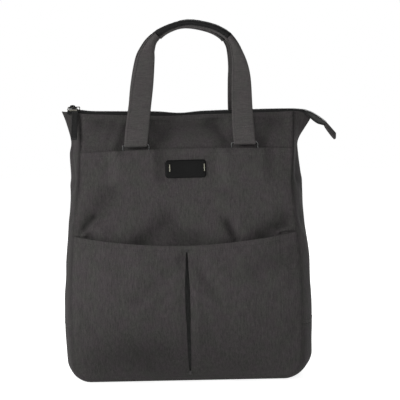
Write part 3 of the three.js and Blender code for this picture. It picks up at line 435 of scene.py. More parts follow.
# The shoulder strap's middle line from its top to its foot. place is a share of STRAP_FOOT_PLACE, height
# of the way from STRAP_FOOT to STRAP_TOP, bow of STRAP_BOW, width of STRAP_WIDTH, thick of
# STRAP_THICKNESS.
STRAP = table(
    "place height bow width thick",
    (0.25, 1, 0, 0.88, 0.5),
    (0.26, 0.95, 0.15, 0.92, 0.9),
    (0.29, 0.84, 0.6, 1, 1),
    (0.37, 0.7, 0.95, 1, 1),
    (0.46, 0.55, 1, 1, 1),
    (0.58, 0.4, 0.8, 0.96, 1),
    (0.7, 0.28, 0.5, 0.84, 0.85),
    (0.82, 0.17, 0.25, 0.56, 0.45),
    (0.93, 0.07, 0.1, 0.52, 0.4),
    (1, 0, 0, 0.52, 0.4),
)
STRAP["index"] = np.arange(len(STRAP["place"]), dtype=float)
STRAP_PAD_END = 6.4


def mix(a, b, share):
    return a + (b - a) * share


def bell(away, width):
    return np.exp(-((away / width) ** 2))


def bow(across, power):
    """1 in the middle and 0 at both ends, flatter in the middle with a higher power."""
    return 1 - np.abs(2 * across - 1) ** power


def smooth(share):
    t = np.clip(share, 0, 1)
    return t * t * (3 - 2 * t)


def column(rows, key, at, by):
    """The value of a table's column between its rows, on a smooth curve."""
    places = rows[by]
    values = rows[key]
    last = len(places) - 1
    at = np.asarray(at, float)
    low = np.clip(np.searchsorted(places, at, side="right") - 1, 0, last - 1)
    high = low + 1
    before = np.maximum(low - 1, 0)
    after = np.minimum(low + 2, last)
    span = places[high] - places[low]
    t = np.clip((at - places[low]) / span, 0, 1)
    slope_low = (values[high] - values[before]) / (places[high] - places[before]) * span
    slope_high = (values[after] - values[low]) / (places[after] - places[low]) * span
    return (
        (2 * t**3 - 3 * t**2 + 1) * values[low]
        + (t**3 - 2 * t**2 + t) * slope_low
        + (3 * t**2 - 2 * t**3) * values[high]
        + (t**3 - t**2) * slope_high
    )


def stack(x, y, z):
    return np.stack(np.broadcast_arrays(x, y, z), axis=-1).astype(float)


def unit(vectors):
    length = np.linalg.norm(vectors, axis=-1, keepdims=True)
    return vectors / np.maximum(length, 1e-9)


def unevenness(x, z, size, seed):
    """A soft uneven height between about -1 and 1, the same each run."""
    rng = np.random.default_rng(SEED + seed)
    total = 0
    for _ in range(UNEVEN_WAVES):
        turn = rng.uniform(0, math.tau)
        length = size * rng.uniform(*UNEVEN_LENGTHS)
        phase = rng.uniform(0, math.tau)
        total = total + np.sin((x * math.cos(turn) + z * math.sin(turn)) * math.tau / length + phase)
    return total / math.sqrt(UNEVEN_WAVES)


def repeated(way, count):
    return np.tile(way, (count, 1))


def straight(start, end, count):
    """Points on a straight line from start to end."""
    return mix(start[None, :], end[None, :], np.linspace(0, 1, count)[:, None])


# Meshes

def add_object(name, data):
    """An object with this data, put into the scene."""
    thing = bpy.data.objects.new(name, data)
    bpy.context.scene.collection.objects.link(thing)
    return thing


def make(name, points, faces, material, replaced=()):
    """An object from points in millimetres, which rides on the one body."""
    mesh = bpy.data.meshes.new(name)
    mesh.from_pydata((np.asarray(points, float) * MM).tolist(), [], faces)
    mesh.validate()
    mesh.polygons.foreach_set("use_smooth", [True] * len(mesh.polygons))
    mesh.materials.append(material)
    mesh.update()
    piece = add_object(name, mesh)
    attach(piece, "root")
    if replaced:
        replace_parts(piece, *replaced)
    return piece


def grid_faces(rows, cols, start=0, flip=False, wrap=False):
    """Quads of a grid of points numbered row by row. wrap joins the last column to the first."""
    i = np.arange(rows - 1)[:, None]
    j = np.arange(cols if wrap else cols - 1)[None, :]
    following = (j + 1) % cols
    corners = [i * cols + j, i * cols + following, (i + 1) * cols + following, (i + 1) * cols + j]
    quads = np.stack([np.broadcast_to(c, (rows - 1, j.shape[1])) for c in corners], axis=-1) + start
    quads = quads.reshape(-1, 4)
    return (quads[:, ::-1] if flip else quads).tolist()


def grid_normals(grid, outward):
    """Unit normals of a grid of points, on the side of the outward direction."""
    along = np.gradient(grid, axis=0)
    across = np.gradient(grid, axis=1)
    normal = unit(np.cross(along, across))
    side = np.sum(normal * outward)
    return normal if side > 0 else -normal


RIM_STEPS = 3


def shell(grid, thickness, outward):
    """A closed sheet under a grid of points, with round edges. Returns its points and faces."""
    rows, cols = grid.shape[:2]
    ring = grid_ring(rows, cols)
    flat = grid.reshape(-1, 3)
    normals = grid_normals(grid, outward).reshape(-1, 3)
    out = rim_ways(flat, normals, ring)
    middle = flat[ring] - normals[ring] * thickness / 2
    if np.sum(out * (middle - middle.mean(axis=0))) < 0:
        out = -out
    turns = np.linspace(0, math.pi, RIM_STEPS + 2)[1:-1]
    rims = [
        middle + normals[ring] * (math.cos(t) * thickness / 2) + out * (math.sin(t) * thickness / 2)
        for t in turns
    ]
    return np.concatenate([flat, flat - normals * thickness, *rims]), sheet_faces(rows, cols, RIM_STEPS)


def rim_ways(flat, normals, ring):
    """Directions out of a sheet at its edge, or all of them into it."""
    edge = flat[ring]
    tangent = np.roll(edge, -1, axis=0) - np.roll(edge, 1, axis=0)
    return unit(np.cross(tangent, normals[ring]))


def grid_ring(rows, cols):
    """The points round the edge of a grid, in order."""
    index = np.arange(rows * cols).reshape(rows, cols)
    return np.concatenate([index[0, :-1], index[:-1, -1], index[-1, :0:-1], index[:0:-1, 0]])


def sheet_faces(rows, cols, rims=0):
    """Faces of an outer and an inner grid, joined over that many rings of points round their edges."""
    count = rows * cols
    ring = grid_ring(rows, cols)
    loops = [ring] + [2 * count + k * len(ring) + np.arange(len(ring)) for k in range(rims)]
    loops.append(ring + count)
    faces = grid_faces(rows, cols) + grid_faces(rows, cols, start=count, flip=True)
    for a, b in zip(loops, loops[1:]):
        faces += np.stack([a, b, np.roll(b, -1), np.roll(a, -1)], axis=-1).tolist()
    return faces


def cloth(name, grid, outward, material, replaced=(), thickness=CLOTH, shade=None):
    points, faces = shell(grid, thickness, outward)
    piece = make(name, points, faces, material, replaced)
    face_out(piece)
    # shade, if given, is painted shade for each point of the grid, also written to its inner face and rims.
    if shade is not None:
        rim = np.tile(shade.ravel()[grid_ring(*shade.shape)], RIM_STEPS)
        shade_points(piece, np.concatenate([shade.ravel(), shade.ravel(), rim]))
    return piece


def shade_points(piece, values):
    """Writes the painted shade at each point, how much darker the cloth's material paints it there."""
    painted_shade_layer = piece.data.attributes.new("shade", "FLOAT", "POINT")
    painted_shade_layer.data.foreach_set("value", values)


def face_out(piece):
    """Turns all faces so that they point out of the closed piece."""
    shape = bmesh.new()
    shape.from_mesh(piece.data)
    bmesh.ops.recalc_face_normals(shape, faces=shape.faces)
    shape.to_mesh(piece.data)
    shape.free()


def loft(name, outlines, material, replaced=(), looped=False):
    """A closed solid through section outlines, an array of (sections, points, 3)."""
    sections, sides = outlines.shape[:2]
    points = outlines.reshape(-1, 3)
    if looped:
        faces = grid_faces(sections + 1, sides, wrap=True)
        faces = [[corner % len(points) for corner in face] for face in faces]
    else:
        faces = grid_faces(sections, sides, wrap=True)
        faces.append(list(range(sides))[::-1])
        faces.append([(sections - 1) * sides + k for k in range(sides)])
    piece = make(name, points, faces, material, replaced)
    face_out(piece)
    return piece


def signed_power(values, power):
    return np.sign(values) * np.abs(values) ** power


def ovals(centre, width_way, thick_way, width, thick, sides, start=0.5, power=1):
    """Outlines at each of a line's points: ellipses, or squarer ones with a lower power."""
    turn = (np.arange(sides) + start) / sides * math.tau
    wide = signed_power(np.cos(turn), power)[None, :, None]
    deep = signed_power(np.sin(turn), power)[None, :, None]
    across = wide * width_way[:, None, :] * np.reshape(width, (-1, 1, 1)) / 2
    over = deep * thick_way[:, None, :] * np.reshape(thick, (-1, 1, 1)) / 2
    return centre[:, None, :] + across + over


BEVEL_STEPS = 3


def rounded_box(name, centre, size, bevel, material, axes=None):
    """A box with round edges. axes are three unit vectors for its sides."""
    shape = bmesh.new()
    bmesh.ops.create_cube(shape, size=1)
    bmesh.ops.scale(shape, vec=Vector(size), verts=shape.verts)
    edges = shape.edges[:]
    bmesh.ops.bevel(shape, geom=edges, offset=bevel, segments=BEVEL_STEPS, profile=0.5, affect="EDGES")
    mesh = bpy.data.meshes.new(name)
    shape.to_mesh(mesh)
    shape.free()
    points = np.array([v.co for v in mesh.vertices])
    faces = [list(p.vertices) for p in mesh.polygons]
    bpy.data.meshes.remove(mesh)
    turn = np.eye(3) if axes is None else np.array(axes)
    return make(name, points @ turn + np.array(centre), faces, material)


STITCH_SIDES = 6
STITCH_RINGS = 3


def stitch_shape():
    """A small thread bead with its two poles, for repeating."""
    rings = np.linspace(0, math.pi, STITCH_RINGS + 2)[1:-1]
    turn = np.arange(STITCH_SIDES) / STITCH_SIDES * math.tau
    ring_points = [
        (math.cos(r), math.sin(r) * math.cos(t), math.sin(r) * math.sin(t))
        for r in rings for t in turn
    ]
    points = np.array([(1, 0, 0), *ring_points, (-1, 0, 0)], float)
    last = len(points) - 1
    faces = []
    for k in range(STITCH_SIDES):
        following = (k + 1) % STITCH_SIDES
        faces.append([0, 1 + k, 1 + following])
        base = 1 + (STITCH_RINGS - 1) * STITCH_SIDES
        faces.append([last, base + following, base + k])
        for ring in range(STITCH_RINGS - 1):
            a = 1 + ring * STITCH_SIDES
            b = a + STITCH_SIDES
            faces.append([a + k, b + k, b + following, a + following])
    return points, faces


BEAD_POINTS, BEAD_FACES = stitch_shape()


def beads(name, centres, along, normal, size, material, replaced=()):
    """Many small rounded beads in one piece: size is (length, width, height) of each."""
    side = unit(np.cross(normal, along))
    half = np.array(size) / 2
    points = (
        centres[:, None, :]
        + BEAD_POINTS[None, :, 0:1] * along[:, None, :] * half[0]
        + BEAD_POINTS[None, :, 1:2] * side[:, None, :] * half[1]
        + BEAD_POINTS[None, :, 2:3] * normal[:, None, :] * half[2]
    ).reshape(-1, 3)
    count = len(BEAD_POINTS)
    faces = [[corner + k * count for corner in face] for k in range(len(centres)) for face in BEAD_FACES]
    return make(name, points, faces, material, replaced)


def run_along(line):
    """How far along a line each of its points is."""
    step = np.linalg.norm(np.diff(line, axis=0), axis=1)
    return np.concatenate([[0], np.cumsum(step)])


def interpolate(at, places, points):
    return np.stack([np.interp(at, places, points[:, k]) for k in range(3)], axis=-1)


def resample(line, pitch):
    """Points along a line at even distances, and their places along it from 0 to 1."""
    run = run_along(line)
    count = max(2, int(run[-1] / pitch))
    at = (np.arange(count) + 0.5) / count * run[-1]
    return interpolate(at, run, line), at / run[-1]


def stitch_row(name, line, normals, material, pitch=STITCH_PITCH, length=STITCH_LENGTH):
    """A row of stitches along a line on a surface with the given normals."""
    centres, at = resample(line, pitch)
    run = run_along(line)
    normal = unit(interpolate(at, run / run[-1], normals))
    along = unit(np.gradient(centres, axis=0))
    beads(name, centres, along, normal, (length, STITCH_WIDTH, STITCH_WIDTH), material)


SURFACE_STEP = 0.002


def surface_line(surface, across, height, lift=STITCH_LIFT, outward=FRONT):
    """Points and normals along a line on a surface function, lifted off it."""
    here = surface(across, height)
    right = surface(across + SURFACE_STEP, height) - surface(across - SURFACE_STEP, height)
    up = surface(across, height + 1) - surface(across, height - 1)
    normal = unit(np.cross(right, up))
    if np.sum(normal * np.array(outward)) < 0:
        normal = -normal
    return here + normal * lift, normal


# The bag's surfaces

CORNER_TOP = SEAM_LIFT + max(CORNER_LEFT, CORNER_RIGHT)


def corner_inset(height, radius):
    rise = np.minimum(1, (height - SEAM_LIFT) / radius)
    return radius * (1 - np.sqrt(np.maximum(0, 1 - (1 - rise) ** 2)))


def section(key, height):
    return column(SECTIONS, key, np.asarray(height, float) / HEM_HEIGHT, "height")


def left_seam(height):
    return -SEAM_HALF_WIDTH * section("left", height) + corner_inset(height, CORNER_LEFT)


def right_seam(height):
    return SEAM_HALF_WIDTH * section("right", height) - corner_inset(height, CORNER_RIGHT)


def half_depth(height):
    return mix(MOUTH_DEPTH, BASE_DEPTH, section("depth", height)) / 2


def x_at(across, height):
    return mix(left_seam(height), right_seam(height), across)


def across_at(x, height):
    return np.clip((x - left_seam(height)) / (right_seam(height) - left_seam(height)), 0, 1)


def hem_lift(across, height):
    """The top hem's wave, which fades out down to the upper pocket's hem."""
    fade = smooth((height - UPPER_HEM_HEIGHT) / (HEM_HEIGHT - UPPER_HEM_HEIGHT))
    return HEM_WAVE * column(HEM, "rise", across, "across") * fade


RIDGE_PLACE = 1.5


def dents(folds, x, z):
    """How far the dents of a table press the cloth in at each point."""
    total = np.zeros(np.broadcast(x, z).shape)
    for k in range(len(folds["depth"])):
        start = np.array([folds["from_x"][k] * SEAM_HALF_WIDTH, folds["from_z"][k] * HEM_HEIGHT])
        line = np.array([folds["to_x"][k] * SEAM_HALF_WIDTH, folds["to_z"][k] * HEM_HEIGHT]) - start
        length = np.hypot(*line)
        share = np.clip(((x - start[0]) * line[0] + (z - start[1]) * line[1]) / length**2, 0, 1)
        away_x = x - start[0] - line[0] * share
        away_z = z - start[1] - line[1] * share
        width = FOLD_WIDTH * folds["width"][k]
        away = np.hypot(away_x, away_z)
        side = (line[0] * away_z - line[1] * away_x) / length
        ridge = folds["ridge"][k]
        beside = side * np.sign(ridge) - RIDGE_PLACE * width
        ends = away**2 - side**2
        crest = np.exp(-((beside / width) ** 2) - ends / width**2)
        total = total + FOLD_DEPTH * folds["depth"][k] * (bell(away, width) - abs(ridge) * crest)
    return total


def ring_place(face, end):
    """How far right a handle's ring is: end is -1 for the left ring and 1 for the right one."""
    shift = 0 if face < 0 else REAR_SHIFT
    return HANDLE_MIDDLE + shift + end * HANDLE_HALF_SPAN


def anchor_bump(x, height):
    """Where the upper pocket stands off the ring anchors behind it: 1 over an anchor, 0 away from it."""
    start = UPPER_HEM_HEIGHT - ANCHOR_BUMP_DROP
    total = 0
    for side, _ in SIDES:
        beyond = (np.abs(x - ring_place(-1, side)) - ANCHOR_BUMP_HALF) / ANCHOR_BUMP_FADE
        total = total + (1 - smooth(beyond)) * smooth((height - start) / ANCHOR_LENGTH)
    return total


def seam_shape(x, height, seed):
    """How far cloth is drawn in at its side seams, with small puckers along them."""
    pull = 0
    sway = PUCKER_SWAY * unevenness(height, 0, UNEVEN_SIZE, seed)
    pucker = np.sin(height * math.tau / PUCKER_PITCH + sway)
    for seam in (left_seam(height), right_seam(height)):
        away = np.abs(x - seam)
        pull = pull + SEAM_ROLL * bell(away, SEAM_ROLL_WIDTH)
        pull = pull + PUCKER * pucker * np.exp(-away / PUCKER_REACH)
    return pull


# Painted shade in folds and along the side seams, and its share on the front panel's folds.
SHADE_DEPTH = 13
SHADE_MOST = 0.6
SEAM_SHADE = 0.95
SEAM_SHADE_WIDTH = 2
SEAM_SHADE_LOW = 0.3
SEAM_SHADE_FADE = (255, 305)
YOKE_SHADE = 0.5


def seam_shade(height):
    """Painted seam shade: full up high, where seams are drawn in, less low down, where they lie nearly flat.
    """
    low, high = SEAM_SHADE_FADE
    return mix(SEAM_SHADE_LOW, 1, smooth((height - low) / (high - low)))


def crease_shade(grid, *folds, share=1.0):
    """The painted shade in the cloth's folds and along its side seams, from 0 to 1."""
    x, z = grid[..., 0], grid[..., 2]
    pressed = sum(dents(rows, x, z) for rows in folds)
    fold = share * np.clip(pressed / SHADE_DEPTH, 0, SHADE_MOST)
    away = np.minimum(np.abs(x - left_seam(z)), np.abs(x - right_seam(z)))
    seam = SEAM_SHADE * seam_shade(z) * bell(away, SEAM_SHADE_WIDTH)
    return np.clip(fold + seam, 0, 1)


def held(across, height):
    """A dent fades out at the seams and at the top hem, where the cloth is held."""
    return bow(across, HELD_POWER) * smooth((HEM_HEIGHT - height) / HEM_FADE)


def front_depth(across, height, layer, stand):
    return (
        half_depth(height)
        + layer * (CLOTH + GAP)
        + stand
        + FRONT_CROWN * section("crown_front", height) * bow(across, CROWN_POWER)
    )


def front_point(across, height, layer, stand=0):
    """The outer face of the cloth on the front, layer by layer outwards from the side seams."""
    x = x_at(across, height)
    creases = dents(FRONT_FOLDS, x, height) + dents(FRONT_CREASES, x, height)
    uneven = UNEVEN * unevenness(x, height, UNEVEN_SIZE, layer)
    pressed = (creases + uneven) * held(across, height) + seam_shape(x, height, layer)
    depth = front_depth(across, height, layer, stand)
    return stack(x, pressed - depth, height + hem_lift(across, height))


def front_surface(across, height):
    return front_point(across, height, 1)


def back_surface(across, height):
    x = x_at(across, height)
    uneven = BACK_UNEVEN * unevenness(x, height, UNEVEN_SIZE, BACK_SEED)
    pressed = (dents(BACK_FOLDS, x, height) + uneven) * held(across, height)
    crown = BACK_CROWN * section("crown_back", height) * bow(across, CROWN_POWER)
    depth = half_depth(height) + CLOTH + GAP + crown
    depth = depth - pressed - seam_shape(x, height, BACK_SEAM_SEED)
    return stack(x, depth, height + hem_lift(across, height))


UPPER_LAYER = 2
LOWER_LAYER = 3
ARCH_POWER = 2


def upper_surface(across, row_height):
    """The upper pocket's outer face. Its rows arch towards the hem."""
    arch = UPPER_HEM_RISE * bow(across, ARCH_POWER)
    arch = arch * smooth((row_height - LOWER_HEM_HEIGHT) / (UPPER_HEM_HEIGHT - LOWER_HEM_HEIGHT))
    height = row_height + arch
    stand = UPPER_STAND_DEPTH * column(UPPER_STAND, "stand", height / HEM_HEIGHT, "height")
    stand = stand * bow(across, STAND_POWER) + ANCHOR_STAND * anchor_bump(x_at(across, height), height)
    return front_point(across, height, UPPER_LAYER, stand)


def lower_surface(across, row_height):
    """The lower pocket's outer face. Its rows sag towards the hem."""
    sag = LOWER_HEM_SAG * bow(across, SAG_POWER)
    sag = sag * smooth((row_height - SLIT_BOTTOM) / (LOWER_HEM_HEIGHT - SLIT_BOTTOM))
    height = row_height - sag
    x = x_at(across, height)
    stand = LOWER_STAND_DEPTH * column(LOWER_STAND, "stand", height / HEM_HEIGHT, "height")
    fade = bow(across, HELD_POWER) * smooth((height - SEAM_LIFT) / FOLD_WIDTH)
    creases = dents(POCKET_FOLDS, x, height) + dents(POCKET_CREASES, x, height)
    uneven = LOWER_UNEVEN * unevenness(x, height, UNEVEN_SIZE, LOWER_SEED)
    pressed = (creases + uneven) * fade + seam_shape(x, height, LOWER_SEED)
    depth = front_depth(across, height, LOWER_LAYER, stand * bow(across, STAND_POWER))
    return stack(x, pressed - depth, height)


def rows_between(*stops):
    """Heights through (height, count) stops, each stop reached in that many steps from the last."""
    heights = [np.array([stops[0][0]], float)]
    for (low, _), (high, count) in zip(stops, stops[1:]):
        heights.append(np.linspace(low, high, count + 1)[1:])
    return np.concatenate(heights)


def corner_rows(count):
    turn = np.linspace(0, math.pi / 2, count)
    return SEAM_LIFT + (CORNER_TOP - SEAM_LIFT) * (1 - np.cos(turn))


# Points across a panel and up its round corners, then the heights that its rows of points reach from
# there, each in that many steps, and its folded hem as (rows of points, how far it stands out).
PANEL_COLUMNS = 150
BACK_COLUMNS = 120
CORNER_COUNT = 22
FRONT_ROWS = ((330, 50), (HEM_HEIGHT, 60))
BACK_ROWS = ((HEM_HEIGHT, 90),)
UPPER_ROWS = ((195, 24), (UPPER_HEM_HEIGHT, 90))
LOWER_ROWS = ((LOWER_HEM_HEIGHT - LOWER_HEM_BAND, 90), (LOWER_HEM_HEIGHT, 4))
STRIP_ROWS = ((CROSS_SEAM_HEIGHT - GAP / 2, 26),)
FRONT_HEM = (7, 0.7)
BACK_HEM = (3, 0.7)
UPPER_HEM = (6, 0.5)
LOWER_HEM = (5, 0.5)
HEM_START = 0.25
HEM_GROOVE = 0.5
HEM_STITCH_SPAN = (0.02, 0.98)
HEM_STITCH_POINTS = 200


def panel_rows(stops):
    """Heights up a panel's round corners, and on through its stops."""
    return np.concatenate([corner_rows(CORNER_COUNT), rows_between((CORNER_TOP, 0), *stops)[1:]])


def hem_band(grid, hem, way):
    """Thickens the last rows of a grid, where the hem is folded over and sewn."""
    rows, lift = hem
    swell = np.zeros(len(grid))
    swell[-rows:] = lift * np.sin(np.linspace(HEM_START, 1, rows) * math.pi / 2)
    swell[-rows - 1] = -HEM_GROOVE * lift
    return grid + swell[:, None, None] * np.array(way, float)


def hem_stitches(name, surface, height, way=FRONT, span=HEM_STITCH_SPAN, count=HEM_STITCH_POINTS):
    across = np.linspace(*span, count)
    line, normal = surface_line(surface, across, np.full(count, height), outward=way)
    stitch_row(name, line, normal, THREAD)


def panel(node, surface, stops, hem, folds, way=FRONT, columns=PANEL_COLUMNS, share=1.0):
    """A sheet between the side seams, with round lower corners and a folded hem."""
    grid = surface(np.linspace(0, 1, columns)[None, :], panel_rows(stops)[:, None])
    grid = hem_band(grid, hem, way)
    # Painted shade in the folds and along the side seams.
    shade = crease_shade(grid, *folds, share=share)
    cloth(f"{node}_cloth", grid, way, FABRIC, [node], shade=shade)


def front_panel():
    folds = (FRONT_FOLDS, FRONT_CREASES)
    panel("front_panel", front_surface, FRONT_ROWS, FRONT_HEM, folds, share=YOKE_SHADE)
    hem_stitches("front_hem_stitches", front_surface, HEM_HEIGHT - TOP_STITCH_DROP)


def back_panel():
    panel("back_panel", back_surface, BACK_ROWS, BACK_HEM, (BACK_FOLDS,), BACK, BACK_COLUMNS)
    hem_stitches("back_hem_stitches", back_surface, HEM_HEIGHT - TOP_STITCH_DROP, BACK)


def upper_pocket():
    panel("upper_pocket", upper_surface, UPPER_ROWS, UPPER_HEM, (FRONT_FOLDS, FRONT_CREASES))
    hem_stitches("upper_pocket_stitches", upper_surface, UPPER_HEM_HEIGHT - HEM_STITCH_DROP)


def slit_half_width(height):
    along = (height - SLIT_BOTTOM) / (SLIT_TOP - SLIT_BOTTOM)
    inside = (along > 0) & (along < 1)
    opening = SLIT_WIDTH / 2 * column(SLIT, "open", np.clip(along, 0, 1), "along")
    return np.where(inside, opening, 0)


# Painted shade towards the lower pocket's bottom: its most, the height it ends at, its share at the seams.
LOW_SHADE = 0.6
LOW_SHADE_HEIGHT = 170
LOW_SHADE_EDGE = 0.5
SLIT_LIP = 1.2
SLIT_LIP_WIDTH = 7
SLIT_CREST_PLACE = 1.6
SLIT_CREST_FADE = 60
SLIT_SPACING = 1.15
HALF_STITCH_POINTS = 120

# The pocket's halves beside the slit: how much the cloth crests there, and where the hem's stitches run.
HALVES = {
    "left": {"crest": 0.3, "stitched": (0.015, 0.495)},
    "right": {"crest": 1, "stitched": (0.505, 0.985)},
}


def slit_lip(away, opening, height, crest):
    """How far the cloth turns in beside the slit, less its crest a little way off."""
    lip = bell(away, SLIT_LIP_WIDTH) * np.minimum(1, opening)[:, None]
    raised = bell(away - SLIT_CREST_PLACE * SLIT_LIP_WIDTH, SLIT_LIP_WIDTH) * crest
    return SLIT_LIP * lip - SLIT_LIP * raised * smooth(height / SLIT_CREST_FADE)[:, None]


def pocket_half(side, word, heights, middle, centre):
    """The lower pocket's cloth from the slit's middle to one side seam."""
    opening = slit_half_width(centre[:, 2])
    edge = middle + side * (opening / (right_seam(heights) - left_seam(heights)))
    far = 0 if side < 0 else 1
    share = np.linspace(0, 1, PANEL_COLUMNS // 2)[None, :]
    across = mix(edge[:, None], far, share**SLIT_SPACING)
    grid = lower_surface(across, heights[:, None])
    away = np.abs(grid[..., 0] - grid[:, :1, 0])
    grid[..., 1] += slit_lip(away, opening, centre[:, 2], HALVES[word]["crest"])
    grid = hem_band(grid, LOWER_HEM, FRONT)
    # Painted shade, darker towards the bottom and the middle, on top of that of the folds and seams.
    low = smooth(1 - grid[..., 2] / LOW_SHADE_HEIGHT)
    low = low * mix(LOW_SHADE_EDGE, 1, bow(across, ARCH_POWER))
    shade = np.clip(crease_shade(grid, POCKET_FOLDS, POCKET_CREASES) + LOW_SHADE * low, 0, 1)
    replaced = ["lower_pocket"] if side < 0 else []
    cloth(f"lower_pocket_{word}", grid, FRONT, FABRIC, replaced, shade=shade)


def lower_pocket():
    """Two halves that meet above and below the slit, with lips that turn in along it."""
    heights = panel_rows(LOWER_ROWS)
    middle = across_at(SLIT_PLACE, heights)
    centre = lower_surface(middle, heights)
    row = LOWER_HEM_HEIGHT - HEM_STITCH_DROP
    for side, word in SIDES:
        pocket_half(side, word, heights, middle, centre)
        hem_stitches(f"lower_pocket_stitches_{word}", lower_surface, row,
                     span=HALVES[word]["stitched"], count=HALF_STITCH_POINTS)


BAR_TACKS = (("top", SLIT_TOP + 15), ("bottom", SLIT_BOTTOM + 3))
BAR_TACK_HALF = 2.5
BAR_TACK_COUNT = 9
BAR_TACK_LIFT = 0.35
BAR_TACK_STITCH = (5, 0.6, 0.6)


def bar_tack():
    """The dense stitches that close the slit's top and bottom."""
    for word, height in BAR_TACKS:
        rows = height + np.linspace(-BAR_TACK_HALF, BAR_TACK_HALF, BAR_TACK_COUNT)
        line, normal = surface_line(lower_surface, across_at(SLIT_PLACE, rows), rows, lift=BAR_TACK_LIFT)
        along = repeated(RIGHT, len(line))
        beads(f"bar_tack_{word}", line, along, normal, BAR_TACK_STITCH, THREAD)


PLEAT_ROWS = ((SLIT_BOTTOM + CLOTH + 1, 0), (LOWER_HEM_HEIGHT - 1, 80))
PLEAT_COLUMNS = 41


def pleat_underlay():
    """The cloth behind the slit, deepest in its middle, in a darker copy of the cloth for painted shade."""
    heights = rows_between(*PLEAT_ROWS)
    share = np.linspace(-1, 1, PLEAT_COLUMNS)[None, :]
    stand = LOWER_STAND_DEPTH * column(LOWER_STAND, "stand", heights / HEM_HEIGHT, "height")
    room = np.maximum(0, stand - 2 * CLOTH - 3 * GAP)
    across = across_at(SLIT_PLACE + share * PLEAT_HALF_WIDTH, heights[:, None])
    grid = lower_surface(across, heights[:, None])
    grid[..., 1] += CLOTH + GAP + SLIT_LIP + room[:, None] * PLEAT_DEPTH * (1 - np.abs(share))
    cloth("pleat_underlay_cloth", grid, FRONT, FABRIC_PAINTED_SHADE, ["pleat_underlay"])


# Side cloth and base

def side_stations(side, heights):
    """Rows of the side cloth: where the seam is, which way the cloth stands out there, and how far."""
    radius = CORNER_LEFT if side < 0 else CORNER_RIGHT
    seam = left_seam(heights) if side < 0 else right_seam(heights)
    round_share = np.clip((heights - SEAM_LIFT) / radius, 0, 1)
    turn = np.arcsin(1 - round_share)
    across = 0 if side < 0 else 1
    bulge = SIDE_BULGE * section("bulge_left" if side < 0 else "bulge_right", heights)
    top = smooth((heights - UPPER_HEM_HEIGHT) / (HEM_HEIGHT - UPPER_HEM_HEIGHT))
    lift = hem_lift(np.full_like(heights, across), heights)
    return {
        "seam": stack(seam, 0, heights + lift),
        "out": stack(side * np.cos(turn), 0, -np.sin(turn)),
        "bulge": mix(SEAM_LIFT, bulge, smooth(round_share)),
        "depth": half_depth(heights),
        "base": 1 - smooth(round_share),
        "ear": section("ear", heights),
        "rise": (EAR_RISE_LEFT if side < 0 else -EAR_FALL_RIGHT) * top,
        "curl": np.full_like(heights, EAR_CURL_LEFT if side < 0 else EAR_CURL_RIGHT),
        "height": heights,
    }


def base_stations(across):
    level = np.full_like(across, SEAM_LIFT)
    zero = np.zeros_like(across)
    return {
        "seam": stack(x_at(across, level), 0, level),
        "out": stack(zero, 0, -1),
        "bulge": level,
        "depth": half_depth(level),
        "base": zero + 1,
        "ear": zero,
        "rise": zero,
        "curl": zero + 1,
        "height": zero,
    }


SIDE_HELD = 6
SIDE_ROLL_WIDTH = 0.03


def side_pressed(across, height, seed):
    """How far the side cloth is pressed in by its creases."""
    depth = 2 * half_depth(height)
    total = UNEVEN * unevenness(across * BASE_DEPTH, height, UNEVEN_SIZE, seed)
    for k in range(len(SIDE_FOLDS["depth"])):
        start = np.array([SIDE_FOLDS["from_along"][k], SIDE_FOLDS["from_z"][k] * HEM_HEIGHT])
        end = np.array([SIDE_FOLDS["to_along"][k], SIDE_FOLDS["to_z"][k] * HEM_HEIGHT])
        run = (end[0] - start[0]) * depth
        rise = end[1] - start[1]
        x = (across - start[0]) * depth
        z = height - start[1]
        share = np.clip((x * run + z * rise) / (run**2 + rise**2), 0, 1)
        away = np.hypot(x - run * share, z - rise * share)
        total = total + SIDE_FOLDS["depth"][k] * bell(away, FOLD_WIDTH * SIDE_FOLDS["width"][k])
    return total * np.minimum(1, SIDE_HELD * across) * np.minimum(1, SIDE_HELD * (1 - across))


def near_seams(share, width):
    """1 at the front and back seams, 0 away from them."""
    return bell(share, width) + bell(1 - share, width)


def strip_points(stations, across, seed):
    """The side cloth's outer face, a row of points for each station."""
    share = np.asarray(across)[None, :]
    ear = stations["ear"][:, None]
    base = stations["base"][:, None]
    side = mix(column(PROFILE, "side", share, "across"), column(PROFILE, "ear", share, "across"), ear)
    shape = mix(side, column(PROFILE, "base", share, "across"), base)
    pressed = side_pressed(share, stations["height"][:, None], seed) * (1 - base)
    above = smooth((HEM_HEIGHT - stations["height"]) / (HEM_FADE * 2))[:, None]
    roll = SEAM_ROLL * near_seams(share, SIDE_ROLL_WIDTH)
    out = stations["bulge"][:, None] * shape - pressed * above - roll * (1 - base)
    points = stations["seam"][:, None, :] + stations["out"][:, None, :] * out[..., None]
    points[..., 1] = stations["depth"][:, None] * (2 * share - 1)
    points[..., 2] += stations["rise"][:, None] * side ** stations["curl"][:, None]
    return points


GUSSET_ROWS = ((CROSS_SEAM_HEIGHT + GAP / 2, 0), (HEM_HEIGHT, 110))
# Painted shade on the side cloth: an even amount each side, its most, and its creases, seams and ear fold.
GUSSET_SHADE_LEFT = 0.3
GUSSET_SHADE_RIGHT = 0.22
GUSSET_SHADE_MOST = 0.8
GUSSET_CREASE_SHADE = 2
GUSSET_EDGE_SHADE = 0.5
GUSSET_EDGE_WIDTH = 0.05
GUSSET_FOLD_SHADE = 0.3
GUSSET_FOLD_WIDTH = 0.12
GUSSET_FOLD_FADE = 40
CROSS_STITCH_RISE = 4
CROSS_STITCH_SPAN = (0.03, 0.97)
CROSS_STITCH_POINTS = 90
STRIP_COLUMNS = 72
STRIP_ACROSS = 0.5 - 0.5 * np.cos(np.linspace(0, math.pi, STRIP_COLUMNS))


